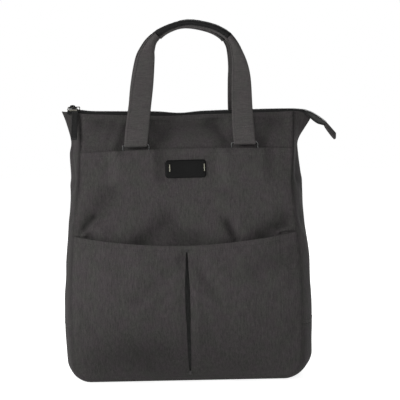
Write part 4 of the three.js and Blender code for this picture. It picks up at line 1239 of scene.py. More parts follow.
def gusset_shade(side, heights):
    """Painted shade on the side cloth: an even amount, more in its creases, at its seams and in the ear's
    fold.
    """
    share = STRIP_ACROSS[None, :]
    pressed = side_pressed(share, heights[:, None], SIDE_SEED + side)
    high = smooth((heights - UPPER_HEM_HEIGHT) / GUSSET_FOLD_FADE)
    fold = bell(share - 0.5, GUSSET_FOLD_WIDTH) * high[:, None]
    edge = GUSSET_EDGE_SHADE * near_seams(share, GUSSET_EDGE_WIDTH) * seam_shade(heights)[:, None]
    plain_shade = GUSSET_SHADE_LEFT if side < 0 else GUSSET_SHADE_RIGHT
    crease = pressed / SHADE_DEPTH * GUSSET_CREASE_SHADE
    return np.clip(crease + plain_shade + edge + GUSSET_FOLD_SHADE * fold, 0, GUSSET_SHADE_MOST)


def side_gusset(side, word):
    name = f"side_gusset_{word}"
    heights = rows_between(*GUSSET_ROWS)
    grid = strip_points(side_stations(side, heights), STRIP_ACROSS, SIDE_SEED + side)
    shade = gusset_shade(side, heights)
    cloth(f"{name}_cloth", grid, (side, 0, 0), FABRIC, [name], shade=shade)
    stations = side_stations(side, np.array([CROSS_SEAM_HEIGHT + CROSS_STITCH_RISE], float))
    row = strip_points(stations, np.linspace(*CROSS_STITCH_SPAN, CROSS_STITCH_POINTS), SIDE_SEED + side)[0]
    normals = unit(np.cross(np.gradient(row, axis=0), UPWARD))
    if np.sum(normals[:, 0]) * side < 0:
        normals = -normals
    stitch_row(f"{name}_stitches", row + normals * STITCH_LIFT, normals, THREAD)


def join_stations(*parts):
    return {key: np.concatenate([part[key] for part in parts]) for key in parts[0]}


# STRIP_SHADE is the even painted shade on the base strip.
STRIP_SHADE = 0.4
BASE_COLUMNS = 90


def base_strip():
    """The strip under the bag and up the lower part of both its sides."""
    up = panel_rows(STRIP_ROWS)
    stations = join_stations(
        side_stations(-1, up[::-1].copy()),
        base_stations(np.linspace(0, 1, BASE_COLUMNS)[1:-1]),
        side_stations(1, up),
    )
    points, faces = strip_shell(strip_points(stations, STRIP_ACROSS, BASE_SEED))
    piece = make("base_strip_cloth", points, faces, FABRIC, ["base_strip"])
    face_out(piece)
    # Painted shade, even all over the strip.
    shade_points(piece, np.full(len(points), STRIP_SHADE))


def strip_shell(grid):
    """The base strip's sheet, set back towards the bag's middle."""
    middle = np.array([0, 0, HEM_HEIGHT / 2])
    normal = unit(np.cross(np.gradient(grid, axis=0), np.gradient(grid, axis=1)))
    flip = np.sum(normal * (middle - grid), axis=-1, keepdims=True) > 0
    inner = grid - np.where(flip, -normal, normal) * CLOTH
    points = np.concatenate([grid.reshape(-1, 3), inner.reshape(-1, 3)])
    return points, sheet_faces(*grid.shape[:2])


# Patch

PATCH_ROWS = 40
PATCH_COLUMNS = 70
PATCH_STAND = PATCH_THICKNESS + 2 * GAP
PATCH_GROOVE = 0.2
PATCH_GROOVE_INSET = 2.4
PATCH_GROOVE_WIDTH = 0.5
PATCH_EDGE = 0.7
PATCH_EDGE_WIDTH = 0.8
PATCH_LEAST_CORNER = 0.2
BAR_BEVEL = 0.5


def patch_surface(x, z, lift):
    """Points off the upper pocket's face, where the pocket lies flat under the patch."""
    low = upper_surface(across_at(x, z), z - UPPER_HEM_RISE)
    return stack(x, low[..., 1] - lift, z)


def eased(count):
    """Places from -1 to 1, closer together towards both ends."""
    return np.sin(np.linspace(-1, 1, count) * math.pi / 2)


def patch():
    """The leather patch with its round corners and pressed rim, and its two bars."""
    z = eased(PATCH_ROWS)[:, None] * PATCH_HEIGHT / 2
    corner = np.maximum(0, np.abs(z) - (PATCH_HEIGHT / 2 - PATCH_CORNER))
    round_part = np.sqrt(np.maximum(PATCH_LEAST_CORNER**2, PATCH_CORNER**2 - corner**2))
    half = PATCH_WIDTH / 2 - PATCH_CORNER + round_part
    x = eased(PATCH_COLUMNS)[None, :] * half
    inset = np.minimum(half - np.abs(x), PATCH_HEIGHT / 2 - np.abs(z))
    groove = PATCH_GROOVE * bell(inset - PATCH_GROOVE_INSET, PATCH_GROOVE_WIDTH)
    lift = PATCH_STAND - groove - PATCH_EDGE * bell(inset, PATCH_EDGE_WIDTH)
    grid = patch_surface(x + PATCH_PLACE, z + PATCH_MIDDLE + np.zeros_like(x), lift)
    cloth("patch_leather", grid, FRONT, LEATHER, ["patch"], thickness=PATCH_THICKNESS)
    for side, word in SIDES:
        patch_bar(side, word)


def patch_bar(side, word):
    place = PATCH_PLACE + side * (PATCH_WIDTH / 2 - (BAR_INSET if side < 0 else BAR_INSET_RIGHT))
    heights = PATCH_MIDDLE + BAR_RISE + np.array([-1, 1]) * BAR_HEIGHT / 2
    ends = patch_surface(np.full(2, place), heights, PATCH_STAND + BAR_WIDTH / 4)
    up_way = unit(ends[1] - ends[0])
    axes = (RIGHT, np.cross(up_way, RIGHT), up_way)
    size = (BAR_WIDTH, BAR_WIDTH, BAR_HEIGHT)
    bar = rounded_box(f"patch_bar_{word}_metal", ends.mean(axis=0), size, BAR_BEVEL, BAR_METAL, axes)
    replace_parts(bar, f"patch_bar_{word}")


# Handles

RING_REACH = (RING_WIRE + WEBBING) / 2 + GAP
HANDLE_STEP = 0.01


def handle_point(face, at):
    """The middle of a handle, at places counted in rows of its table."""
    lean = column(HANDLE, "lean", at, "index")
    drop = 0 if face < 0 else REAR_DROP
    return stack(
        ring_place(face, column(HANDLE, "x", at, "index")),
        face * mix(ring_plane(face) + RING_REACH, GRIP_SPACING / 2, lean),
        RING_TOP + column(HANDLE, "z", at, "index") * (HANDLE_TOP - RING_TOP) - drop * lean,
    )


def handle_line(face, at):
    """Centre, width way, thickness way, width and thickness along a handle."""
    after = handle_point(face, np.minimum(at + HANDLE_STEP, HANDLE_LAST))
    tangent = unit(after - handle_point(face, np.maximum(at - HANDLE_STEP, 0)))
    width_way = unit(np.cross(face * REARWARD, tangent))
    thick_way = unit(np.cross(tangent, width_way))
    width = WEBBING_WIDTH * column(HANDLE, "width", at, "index")
    thick = np.maximum(WEBBING, GRIP_DEPTH * column(HANDLE, "thick", at, "index"))
    return handle_point(face, at), width_way, thick_way, width, thick


def ring_plane(face):
    """How far the rings' middle plane is from the bag's middle, as in the CAD model."""
    low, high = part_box("front_ring_left" if face < 0 else "rear_ring_left")
    return abs((low.y + high.y) / 2) / MM


# A strip's section from one edge to the other: rolled edges, shallow grooves under the stitches, and a
# middle that bulges where the strip is folded up. All are shares of half the width or thickness.
BAND = table(
    "place swell bulge",
    (-1, 0.1, 0), (-0.93, 0.85, 0), (-0.84, 1.06, 0), (-0.78, 0.84, 0), (-0.7, 1, 0), (-0.4, 1, 1),
    (0, 1, 1.4),
    (0.4, 1, 1), (0.7, 1, 0), (0.78, 0.84, 0), (0.84, 1.06, 0), (0.93, 0.85, 0), (1, 0.1, 0),
)
BAND_BULGE = 0.04
BAND_BULGE_MOST = 0.5


def band_outline(width, thick):
    """A strip's section as (across, up) pairs."""
    fold = min(BAND_BULGE_MOST, BAND_BULGE * (thick - WEBBING))
    across = BAND["place"] * width / 2
    up = (BAND["swell"] + BAND["bulge"] * fold) * thick / 2
    upper = np.stack([across, up], axis=-1)
    lower = np.stack([across[::-1], -up[::-1]], axis=-1)
    return np.concatenate([upper, lower])


def band_sections(centre, width_way, thick_way, width, thick):
    outlines = []
    for c, w, t, wide, deep in zip(centre, width_way, thick_way, width, thick):
        outline = band_outline(wide, deep)
        outlines.append(c + outline[:, :1] * w + outline[:, 1:] * t)
    return np.array(outlines)


LEG_POINTS = 90
LEG_TURN_START = 78
LEG_TURN_LENGTH = 11
LEG_LOOP_POINTS = 13


def leg(prefix, face, end, word):
    """A webbing leg from the grip down to its ring, round the ring's bar and up behind itself."""
    ring = 0 if end < 0 else HANDLE_LAST
    at = np.linspace(GRIP_START if end < 0 else GRIP_END, ring, LEG_POINTS)
    centre, width_way, thick_way, width, thick = handle_line(face, at)
    if np.mean(thick_way[:, 1]) * face < 0:
        thick_way = -thick_way
    over = smooth((np.arange(LEG_POINTS) - LEG_TURN_START) / LEG_TURN_LENGTH)[:, None]
    right = RIGHT * np.sign(width_way[-1, 0])
    width_way = unit(mix(width_way, right, over))
    thick_way = unit(mix(thick_way, face * REARWARD, over))
    bar = np.array([ring_place(face, end), face * ring_plane(face), RING_TOP])
    turns = np.linspace(0, math.pi, LEG_LOOP_POINTS + 1)[1:]
    way = stack(0 * turns, face * np.cos(turns), -np.sin(turns))
    loop = bar + way * RING_REACH
    behind = handle_point(face, np.array([ring - end], float))[0]
    top = np.array([behind[0], behind[1] - face * (WEBBING + 2 * GAP), RING_TOP + FOLD_BACK])
    up = straight(loop[-1], top, LEG_LOOP_POINTS + 1)[1:]
    added = len(loop) + len(up)
    sections = band_sections(
        np.concatenate([centre, loop, up]),
        np.concatenate([width_way, repeated(right, added)]),
        np.concatenate([thick_way, way, repeated(-face * REARWARD, len(up))]),
        np.concatenate([width, np.full(added, width[-1])]),
        np.concatenate([thick, np.full(added, WEBBING)]),
    )
    node = f"{prefix}_leg_{word}"
    loft(f"{node}_webbing", sections, WEBBING_CLOTH, [node])
    leg_stitches(node, centre, width_way, thick_way, width, thick)


LEG_STITCHED = slice(26, 88)
LEG_STITCH_PLACE = 0.39
LEG_STITCH_DEPTH = 0.47
LEG_STITCH_LIFT = 0.1
LEG_CROSS_DROP = 4
LEG_CROSS_HALF = 0.4
LEG_CROSS_POINTS = 12
LEG_CROSS_LIFT = 0.2


def leg_stitches(name, centre, width_way, thick_way, width, thick):
    """A row of stitches along each edge, and one across where the end is sewn to the front layer."""
    deep = thick_way * (LEG_STITCH_DEPTH * thick + LEG_STITCH_LIFT)[:, None]
    for side, word in ((-1, "inner"), (1, "outer")):
        line = centre + width_way * (side * LEG_STITCH_PLACE * width)[:, None] + deep
        stitch_row(f"{name}_stitches_{word}", line[LEG_STITCHED], thick_way[LEG_STITCHED], THREAD)
    row = int(np.argmin(np.abs(centre[:, 2] - (RING_TOP + FOLD_BACK - LEG_CROSS_DROP))))
    share = np.linspace(-LEG_CROSS_HALF, LEG_CROSS_HALF, LEG_CROSS_POINTS)[:, None]
    lift = thick_way[row] * (thick[row] / 2 + LEG_CROSS_LIFT)
    line = centre[row] + share * width[row] * width_way[row] + lift
    thread = THREAD_LIGHT if name.endswith("right") else THREAD
    stitch_row(f"{name}_stitches_cross", line, repeated(thick_way[row], len(line)), thread)


GRIP_LEATHER = 1.3
GRIP_OPEN = math.radians(37)
GRIP_ROWS = 120
GRIP_COLUMNS = 44
GRIP_END_ROWS = 3
GRIP_END_SIZE = 0.98
GRIP_END_GROWTH = 0.04
GRIP_GRAIN = 0.12
GRIP_GRAIN_ALONG = 30
GRIP_GRAIN_ROUND = 8
GRIP_GRAIN_SIZE = 9
GRIP_STITCH_TURN = 0.32
GRIP_STITCH_LIFT = 0.2
CORE_DROP = 2.5
CORE_SHARE = 0.86
CORE_THICKNESS_SHARE = 0.62
CORE_SIDES = 28


def sleeve(centre, down, thick_way, width, thick, at):
    """Points and faces of the grip's leather, a sheet bent round a line and open along its underside."""
    turn = np.linspace(GRIP_OPEN, math.tau - GRIP_OPEN, GRIP_COLUMNS)
    rows = np.arange(GRIP_ROWS)
    ends = smooth(np.minimum(rows, rows[::-1]) / GRIP_END_ROWS) * GRIP_END_GROWTH + GRIP_END_SIZE
    across = np.cos(turn)[None, :, None] * down[:, None, :]
    over = np.sin(turn)[None, :, None] * thick_way[:, None, :]
    radial = across + over
    along = at[:, None] * GRIP_GRAIN_ALONG
    grain = unevenness(along, turn[None, :] * GRIP_GRAIN_ROUND, GRIP_GRAIN_SIZE, GRIP_SEED)
    outer = (
        centre[:, None, :]
        + across * (width / 2 * ends)[:, None, None]
        + over * (thick / 2 * ends)[:, None, None]
        + radial * (GRIP_GRAIN * grain)[..., None]
    )
    inner = outer - radial * GRIP_LEATHER
    ring = grid_ring(GRIP_ROWS, GRIP_COLUMNS)
    edge = rim_ways(outer.reshape(-1, 3), radial.reshape(-1, 3), ring) * GRIP_LEATHER / 2
    if np.sum(edge[: GRIP_COLUMNS // 2] @ (outer[0].mean(axis=0) - outer[-1].mean(axis=0))) < 0:
        edge = -edge
    rim = (outer + inner).reshape(-1, 3)[ring] / 2 + edge
    points = np.concatenate([outer.reshape(-1, 3), inner.reshape(-1, 3), rim])
    return points, sheet_faces(GRIP_ROWS, GRIP_COLUMNS, 1)


def grip(prefix, face):
    """A leather sleeve that is open along its underside, over a core of rolled webbing."""
    at = np.linspace(GRIP_START, GRIP_END, GRIP_ROWS)
    centre, width_way, thick_way, width, thick = handle_line(face, at)
    down = np.where(width_way[:, 2:3] > 0, -width_way, width_way)
    points, faces = sleeve(centre, down, thick_way, width, thick, at)
    piece = make(f"{prefix}_grip_leather", points, faces, GRIP_HIDE, [f"{prefix}_grip"])
    face_out(piece)
    core = ovals(centre + down * CORE_DROP, down, thick_way, width * CORE_SHARE, thick * CORE_THICKNESS_SHARE,
                 CORE_SIDES)
    loft(f"{prefix}_grip_core", core, WEBBING_CLOTH)
    for side, word in ((-1, "outer"), (1, "inner")):
        turn = math.pi - side * (math.pi - GRIP_OPEN - GRIP_STITCH_TURN)
        line = centre + down * (math.cos(turn) * width / 2)[:, None]
        line = line + thick_way * (math.sin(turn) * thick / 2)[:, None]
        normal = unit(down * math.cos(turn) / width[:, None] + thick_way * math.sin(turn) / thick[:, None])
        lifted = line + normal * GRIP_STITCH_LIFT
        stitch_row(f"{prefix}_grip_stitches_{word}", lifted, normal, THREAD_DARK)


WIRE_CORNER_STEPS = 8
WIRE_SIDES = 16


def wire_path(width, height, wire, corner):
    """A rectangle with round corners as (right, up, outward turn) along the wire's middle."""
    half_width = (width - wire) / 2
    half_height = (height - wire) / 2
    rows = []
    for side_x, side_z, quarter in ((1, 1, 0), (-1, 1, 1), (-1, -1, 2), (1, -1, 3)):
        for share in np.linspace(0, 1, WIRE_CORNER_STEPS):
            turn = (quarter + share) * math.pi / 2
            rows.append((
                side_x * (half_width - corner) + corner * math.cos(turn),
                side_z * (half_height - corner) + corner * math.sin(turn),
                turn,
            ))
    return np.array(rows)


def wire_loop(name, centre, up, width, height, wire, material, replaced, corner):
    """A ring of wire with its width along X. corner is its corners' radius, in wires."""
    path = wire_path(width, height, wire, corner * wire)
    middle = np.array(centre) + path[:, :1] * RIGHT + path[:, 1:2] * up
    away = np.cos(path[:, 2:]) * RIGHT + np.sin(path[:, 2:]) * up
    out = repeated(np.cross(RIGHT, up), len(path))
    size = np.full(len(path), wire)
    loft(name, ovals(middle, away, out, size, size, WIRE_SIDES), material, replaced, looped=True)


LOOP_TURN_POINTS = 30
LOOP_FLAT_POINTS = 12
LOOP_FLAT_START = 0.1
LOOP_MOST_MEET = 0.95
LOOP_INSET = 0.94
LOOP_COLUMNS = 9
LOOP_EDGE = 0.82


def band_loop(name, bar, hole, wall, foot, tail_wall, width, material, replaced):
    """A band folded round a bar along X, with its two ends together down to a point."""
    down = np.array([0, foot[1] - bar[1], foot[2] - bar[2]], float)
    reach = np.linalg.norm(down)
    down = down / reach
    side = np.cross(RIGHT, down)
    outer = hole + wall
    half = tail_wall / 2
    meet = math.asin(min(LOOP_MOST_MEET, half / outer))
    turns = np.linspace(meet, math.tau - meet, LOOP_TURN_POINTS)
    flat = mix(outer, reach, np.linspace(1, LOOP_FLAT_START, LOOP_FLAT_POINTS))
    profile = np.concatenate([
        np.stack([np.full(len(flat), half), flat], axis=-1),
        np.stack([np.sin(turns) * outer, np.cos(turns) * outer], axis=-1),
        np.stack([np.full(len(flat), -half), flat[::-1]], axis=-1),
    ])
    rows = []
    for share in [-1, *np.linspace(-LOOP_INSET, LOOP_INSET, LOOP_COLUMNS), 1]:
        shrink = LOOP_EDGE if abs(share) == 1 else 1
        rows.append(bar + share * width / 2 * RIGHT + profile[:, :1] * shrink * side + profile[:, 1:] * down)
    loft(name, np.array(rows), material, replaced)


def anchor(prefix, face, end, word):
    """The webbing loop that holds a ring to the bag."""
    node = f"{prefix}_anchor_{word}"
    low, high = (np.array(corner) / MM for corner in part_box(node))
    x = ring_place(face, end)
    bar = np.array([x, face * ring_plane(face), RING_TOP - RING_HEIGHT + RING_WIRE])
    foot_depth = min(abs(low[1]), abs(high[1])) + CLOTH
    foot = np.array([x, face * foot_depth, bar[2] - ANCHOR_LENGTH])
    band_loop(f"{node}_band", bar, RING_WIRE / 2 + GAP, CLOTH, foot, 2 * CLOTH, ANCHOR_WIDTH, WEBBING_CLOTH,
              [node])
    if face > 0:
        anchor_stitches(node, bar, foot)


ANCHOR_STITCH_INSET = 4
ANCHOR_STITCH_FOOT = 3
ANCHOR_STITCH_TOP = 8
ANCHOR_STITCH_LIFT = 0.25
ANCHOR_STITCH_POINTS = 12
BOX_LINES = ((0, 1), (1, 2), (2, 3), (3, 0), (0, 2), (1, 3))


def anchor_stitches(node, bar, foot):
    """A sewn box with a cross on the rear anchors, which are in the open."""
    down = unit(foot - bar)
    normal = unit(REARWARD - down * down[1])
    lift = normal * (CLOTH + ANCHOR_STITCH_LIFT)
    low = foot - down * ANCHOR_STITCH_FOOT + lift
    high = bar + down * ANCHOR_STITCH_TOP + lift
    right = RIGHT * (ANCHOR_WIDTH / 2 - ANCHOR_STITCH_INSET)
    corners = [low - right, low + right, high + right, high - right]
    for k, (a, b) in enumerate(BOX_LINES):
        line = straight(corners[a], corners[b], ANCHOR_STITCH_POINTS)
        stitch_row(f"{node}_stitches_{k}", line, repeated(normal, len(line)), THREAD)


RING_CORNER = 0.8


def handle(prefix, face):
    grip(prefix, face)
    for end, word in SIDES:
        leg(prefix, face, end, word)
        node = f"{prefix}_ring_{word}"
        centre = (ring_place(face, end), face * ring_plane(face), RING_TOP - (RING_HEIGHT - RING_WIRE) / 2)
        wire_loop(f"{node}_wire", centre, UPWARD, RING_WIDTH, RING_HEIGHT, RING_WIRE, RING_METAL,
                  [node], RING_CORNER)
        anchor(prefix, face, end, word)


# Zip

def zip_height(along):
    return HEM_HEIGHT + ZIP_RISE * column(ZIP_LINE, "rise", along, "along")


def zip_x(along):
    return mix(ZIP_LEFT, ZIP_RIGHT, along)


TAPE_ROWS = 240
TAPE_COLUMNS = 14
TAPE_INSET = 0.6
TAPE_RIPPLE = 0.25
TAPE_RIPPLE_ACROSS = 9
TAPE_RIPPLE_SIZE = 22


def zip_tapes():
    """The two tapes beside the teeth, which fold down to the hems."""
    along = np.linspace(0, 1, TAPE_ROWS)[:, None]
    share = np.linspace(0, 1, TAPE_COLUMNS)[None, :]
    edge = column(TAPE_EDGE, "spread", along, "along") * (MOUTH_DEPTH / 2)
    drop = TAPE_TUCK * column(TAPE_EDGE, "drop", along, "along")
    steep = mix(TAPE_FOLD_DROP, 1, (share - TAPE_FOLD_PLACE) / (1 - TAPE_FOLD_PLACE))
    fall = np.where(share < TAPE_FOLD_PLACE, TAPE_FOLD_DROP * share / TAPE_FOLD_PLACE, steep)
    for face, word in ((-1, "front"), (1, "rear")):
        ripple = unevenness(zip_x(along), share * TAPE_RIPPLE_ACROSS, TAPE_RIPPLE_SIZE, TAPE_SEED + face)
        grid = stack(
            zip_x(along),
            face * mix(CHAIN_WIDTH / 2 - TAPE_INSET, edge, share),
            zip_height(along) - drop * fall + TAPE_RIPPLE * ripple * share,
        )
        cloth(f"zip_tape_{word}_cloth", grid, TOP, ZIP_CLOTH, [f"zip_tape_{word}"], TAPE_THICKNESS)


TOOTH_PITCH = 1.5
TOOTH_SIZE = (1.15, 3.4, 2.4)
TOOTH_OFFSET = 0.85
TOOTH_LIFT = 0.2
CHAIN_START = (SLIDER_INSET + SLIDER_LENGTH) / (ZIP_RIGHT - ZIP_LEFT)
CHAIN_END = 0.998
CORD_POINTS = 160
CORD_SINK = 0.3
CORD_WIDTH = 3.2
CORD_THICKNESS = 1.7
CORD_SIDES = 12


def zip_chain():
    """Two rows of teeth that lock into each other, over a cord."""
    count = int((1 - CHAIN_START) * (ZIP_RIGHT - ZIP_LEFT) / TOOTH_PITCH)
    along = np.linspace(CHAIN_START, CHAIN_END, count)
    side = np.where(np.arange(count) % 2 == 0, -1.0, 1.0)
    centres = stack(zip_x(along), side * TOOTH_OFFSET, zip_height(along) + TOOTH_LIFT)
    beads("zip_teeth", centres, repeated(RIGHT, count), repeated(UPWARD, count), TOOTH_SIZE, ZIP_TEETH,
          ["zip_chain"])
    along = np.linspace(CHAIN_START, CHAIN_END, CORD_POINTS)
    line = stack(zip_x(along), 0, zip_height(along) - CORD_SINK)
    across = repeated(REARWARD, CORD_POINTS)
    over = repeated(UPWARD, CORD_POINTS)
    wide = np.full(CORD_POINTS, CORD_WIDTH)
    deep = np.full(CORD_POINTS, CORD_THICKNESS)
    loft("zip_chain_cord", ovals(line, across, over, wide, deep, CORD_SIDES), ZIP_CLOTH)


SLIDER_PLACE = ZIP_LEFT + SLIDER_INSET + SLIDER_LENGTH / 2

# The slider's blocks: the middle's offset from the slider's place on the zip, the size and the bevel.
SLIDER_BLOCKS = {
    "top": ((0, 0, 2.6), (SLIDER_LENGTH, SLIDER_DEPTH, 1.6), 0.6),
    "base": ((0, 0, 0.7), (SLIDER_LENGTH, SLIDER_DEPTH * 0.9, 1.4), 0.5),
    "waist": ((2, 0, 1.6), (3, 3.5, 2), 0.4),
    "cap": ((-0.8, 2.9, 4.9), (8.2, 2.6, 4), 0.8),
}
BRIDGE_POINTS = 24
BRIDGE_OFFSET = 0.6
BRIDGE_HALF_LENGTH = 3.3
BRIDGE_FOOT = 3
BRIDGE_RISE = 3.4
BRIDGE_POWER = 0.35
BRIDGE_WIDTH = 3.4
BRIDGE_THICKNESS = 2.2
BRIDGE_SIDES = 12


def slider_floor():
    return float(zip_height(0)) + GAP


def slider_block(word):
    offset, size, bevel = SLIDER_BLOCKS[word]
    centre = np.array([SLIDER_PLACE, 0, slider_floor()]) + offset
    return rounded_box(f"zip_slider_{word}", centre, size, bevel, DARK_METAL)


def zip_slider():
    """Two plates with a waist between them, and a bridge and a cap that hold the pull."""
    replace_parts(slider_block("top"), "zip_slider")
    slider_block("base")
    slider_block("waist")
    turn = np.linspace(0, math.pi, BRIDGE_POINTS)
    line = stack(
        SLIDER_PLACE - BRIDGE_OFFSET - BRIDGE_HALF_LENGTH * np.cos(turn),
        0,
        slider_floor() + BRIDGE_FOOT + BRIDGE_RISE * np.sin(turn) ** BRIDGE_POWER,
    )
    across = repeated(REARWARD, BRIDGE_POINTS)
    over = unit(np.cross(unit(np.gradient(line, axis=0)), across))
    wide = np.full(BRIDGE_POINTS, BRIDGE_WIDTH)
    deep = np.full(BRIDGE_POINTS, BRIDGE_THICKNESS)
    bridge = ovals(line, across, over, wide, deep, BRIDGE_SIDES)
    loft("zip_slider_bridge", bridge, DARK_METAL)
    slider_block("cap")


PULL_CORNER = 1.2
PULL_CLASP_OFFSET = (-2.6, -2.4, -0.1)
PULL_CLASP_DEPTH = 1.6
PULL_CLASP_BEVEL = 0.5
PULLER_STITCH_TOP = 6
PULLER_STITCH_FOOT = 2
PULLER_STITCH_INSET = 1.6
PULLER_STITCH_LIFT = 0.1
PULLER_STITCH_PITCH = 2.4
PULLER_STITCH_LENGTH = 1.6
PULLER_STITCH_POINTS = 30


def zip_pull():
    """The wire loop on the slider's bridge, the leather puller that hangs from it, and a clasp."""
    bridge = slider_floor() + SLIDER_HEIGHT - BRIDGE_DROP
    down = np.array([0, -math.cos(PULL_SLOPE), -math.sin(PULL_SLOPE)])
    centre = np.array([SLIDER_PLACE + PULL_LOOP_SHIFT, 0, bridge]) + down * (PULL_LOOP_HEIGHT - PULL_WIRE) / 2
    wire_loop("zip_pull_wire", centre, -down, PULL_LOOP_WIDTH, PULL_LOOP_HEIGHT, PULL_WIRE, METAL,
              ["zip_pull_ring"], PULL_CORNER)
    low = np.array([SLIDER_PLACE + PULLER_SHIFT, 0, bridge]) + down * (PULL_LOOP_HEIGHT - PULL_WIRE)
    height = low[2] - PULLER_LENGTH
    foot = np.array([low[0], -(float(half_depth(height)) + PULLER_STAND), height])
    band_loop("zip_puller_leather", low, PULL_WIRE / 2 + GAP, PULLER_THICKNESS / 2, foot, PULLER_THICKNESS,
              PULLER_WIDTH, PULLER_LEATHER, ["zip_puller"])
    size = (PULL_CLASP_WIDTH, PULL_CLASP_DEPTH, PULL_CLASP_HEIGHT)
    rounded_box("zip_pull_clasp", low + PULL_CLASP_OFFSET, size, PULL_CLASP_BEVEL, CLASP_METAL)
    puller_stitches(low, foot)


def puller_stitches(low, foot):
    way = unit(foot - low)
    normal = unit(np.cross(RIGHT, way))
    if normal[1] > 0:
        normal = -normal
    line = straight(low + way * PULLER_STITCH_TOP, foot - way * PULLER_STITCH_FOOT, PULLER_STITCH_POINTS)
    line = line + normal * (PULLER_THICKNESS / 2 + PULLER_STITCH_LIFT)
    for side, word in SIDES:
        edge = line + side * (PULLER_WIDTH / 2 - PULLER_STITCH_INSET) * RIGHT
        stitch_row(f"zip_puller_stitches_{word}", edge, repeated(normal, len(edge)), THREAD_DARK,
                   PULLER_STITCH_PITCH, PULLER_STITCH_LENGTH)


TAIL_ROWS = 40
TAIL_COLUMNS = 33
TAIL_RIPPLE = 0.3
TAIL_RIPPLE_ACROSS = 9
TAIL_RIPPLE_SIZE = 18
# Painted shade on the tail: the width of its dark middle ridge, and where its dark edges start.
TAIL_RIDGE_SHADE = 0.22
TAIL_EDGE_SHADE = 0.7
TAIL_TOOTH_LIFT = 0.4
TAIL_TOOTH_SIZE = (1.15, 4.2, 2.2)


def tail_grid(start, end, rows, grow):
    """Rows of the zip's free end, a tape that drapes over its middle ridge."""
    reach = np.linspace(start, end, rows)[:, None]
    side = np.linspace(-1, 1, TAIL_COLUMNS)[None, :]
    spread = TAIL_SPREAD * column(TAIL, "spread", reach, "reach") + grow
    drape = TAIL_SPREAD * column(TAIL, "drape", reach, "reach")
    lean = (drape - TAIL_SPREAD * TAIL["drape"][0]) / 2
    out = np.abs(side)
    top = zip_height(1.0) + grow - TAIL_REACH * column(TAIL, "fall", reach, "reach")
    uneven = unevenness(reach * TAIL_REACH, side * TAIL_RIPPLE_ACROSS, TAIL_RIPPLE_SIZE, TAIL_SEED)
    ripple = TAIL_RIPPLE * uneven
    return stack(
        ZIP_RIGHT + GAP + TAIL_REACH * reach - lean * out,
        side * spread + ripple,
        top - drape * out**TAIL_POWER + ripple * out,
    )


def zip_tail():
    grid = tail_grid(0, (TAIL_REACH - TAB_REACH) / TAIL_REACH, TAIL_ROWS, 0)
    # Painted shade: dark along the middle ridge, towards both edges and near the start beside the ear.
    out = np.abs(np.linspace(-1, 1, TAIL_COLUMNS))[None, :] + np.zeros((TAIL_ROWS, 1))
    start = np.linspace(1, 0, TAIL_ROWS)[:, None]
    edge = smooth((out - TAIL_EDGE_SHADE) / (1 - TAIL_EDGE_SHADE))
    shade = np.clip(bell(out, TAIL_RIDGE_SHADE) + edge + smooth(2 * start - 1), 0, 1)
    cloth("zip_tail_cloth", grid, TOP, ZIP_TAIL_CLOTH, ["zip_tail"], shade=shade)
    centres, _ = resample(grid[:, TAIL_COLUMNS // 2], TOOTH_PITCH)
    along = unit(np.gradient(centres, axis=0))
    up = unit(np.cross(along, REARWARD))
    up = np.where(up[:, 2:] < 0, -up, up)
    beads("zip_tail_teeth", centres + up * TAIL_TOOTH_LIFT, along, up, TAIL_TOOTH_SIZE, ZIP_TEETH)


TAB_ROWS = 30
TAB_STITCHED = slice(3, 27)
TAB_STITCH_COLUMNS = (("front", 5), ("rear", 27))


def zip_end_tab():
    start = (TAIL_REACH - TAB_REACH + GAP) / TAIL_REACH
    grid = tail_grid(start, TAIL["reach"][-1], TAB_ROWS, CLOTH / 2)
    cloth("zip_end_tab_cloth", grid, TOP, FABRIC, ["zip_end_tab"], TAB_WALL)
    for side, place in TAB_STITCH_COLUMNS:
        normals = grid_normals(grid, TOP)[TAB_STITCHED, place]
        line = grid[TAB_STITCHED, place] + normals * STITCH_LIFT
        stitch_row(f"zip_end_tab_stitches_{side}", line, normals, THREAD)


# Shoulder straps

STRAP_CLEARANCE = 2 * GAP + 0.8


def strap_line(side, at):
    """Centre, width way, thickness way, width and thickness along a strap."""
    x = side * column(STRAP, "place", at, "index") * STRAP_FOOT_PLACE
    z = mix(STRAP_FOOT, STRAP_TOP, column(STRAP, "height", at, "index"))
    width = STRAP_WIDTH * column(STRAP, "width", at, "index")
    thick = STRAP_THICKNESS * column(STRAP, "thick", at, "index")
    edge = np.maximum(0, np.abs(x) - width / 2) * side
    surface = back_surface(across_at(edge, z), z)[:, 1]
    stand = STRAP_BOW * column(STRAP, "bow", at, "index")
    centre = stack(x, surface + STRAP_CLEARANCE + stand + thick / 2, z)
    tangent = unit(np.gradient(centre, axis=0))
    width_way = unit(np.cross(REARWARD, tangent))
    thick_way = unit(np.cross(tangent, width_way))
    return centre, width_way, thick_way, width, thick


PAD_ROWS = 60
PAD_SIDES = 40
PAD_POWER = 0.45
PAD_SHRINK = 0.8
PAD_EDGE_SHRINK = 0.3
PAD_VOXEL = 0.004
PAD_PRESSURE = 4
PAD_CAP = 3.0
SIM_FRAMES = 20


def pad_sections(side):
    """A strap's pad before it swells, thinner than it will be."""
    centre, width_way, thick_way, width, thick = strap_line(side, np.linspace(0, STRAP_PAD_END, PAD_ROWS))
    width = width * mix(1, PAD_SHRINK, PAD_EDGE_SHRINK)
    return ovals(centre, width_way, thick_way, width, thick * PAD_SHRINK, PAD_SIDES, start=0, power=PAD_POWER)


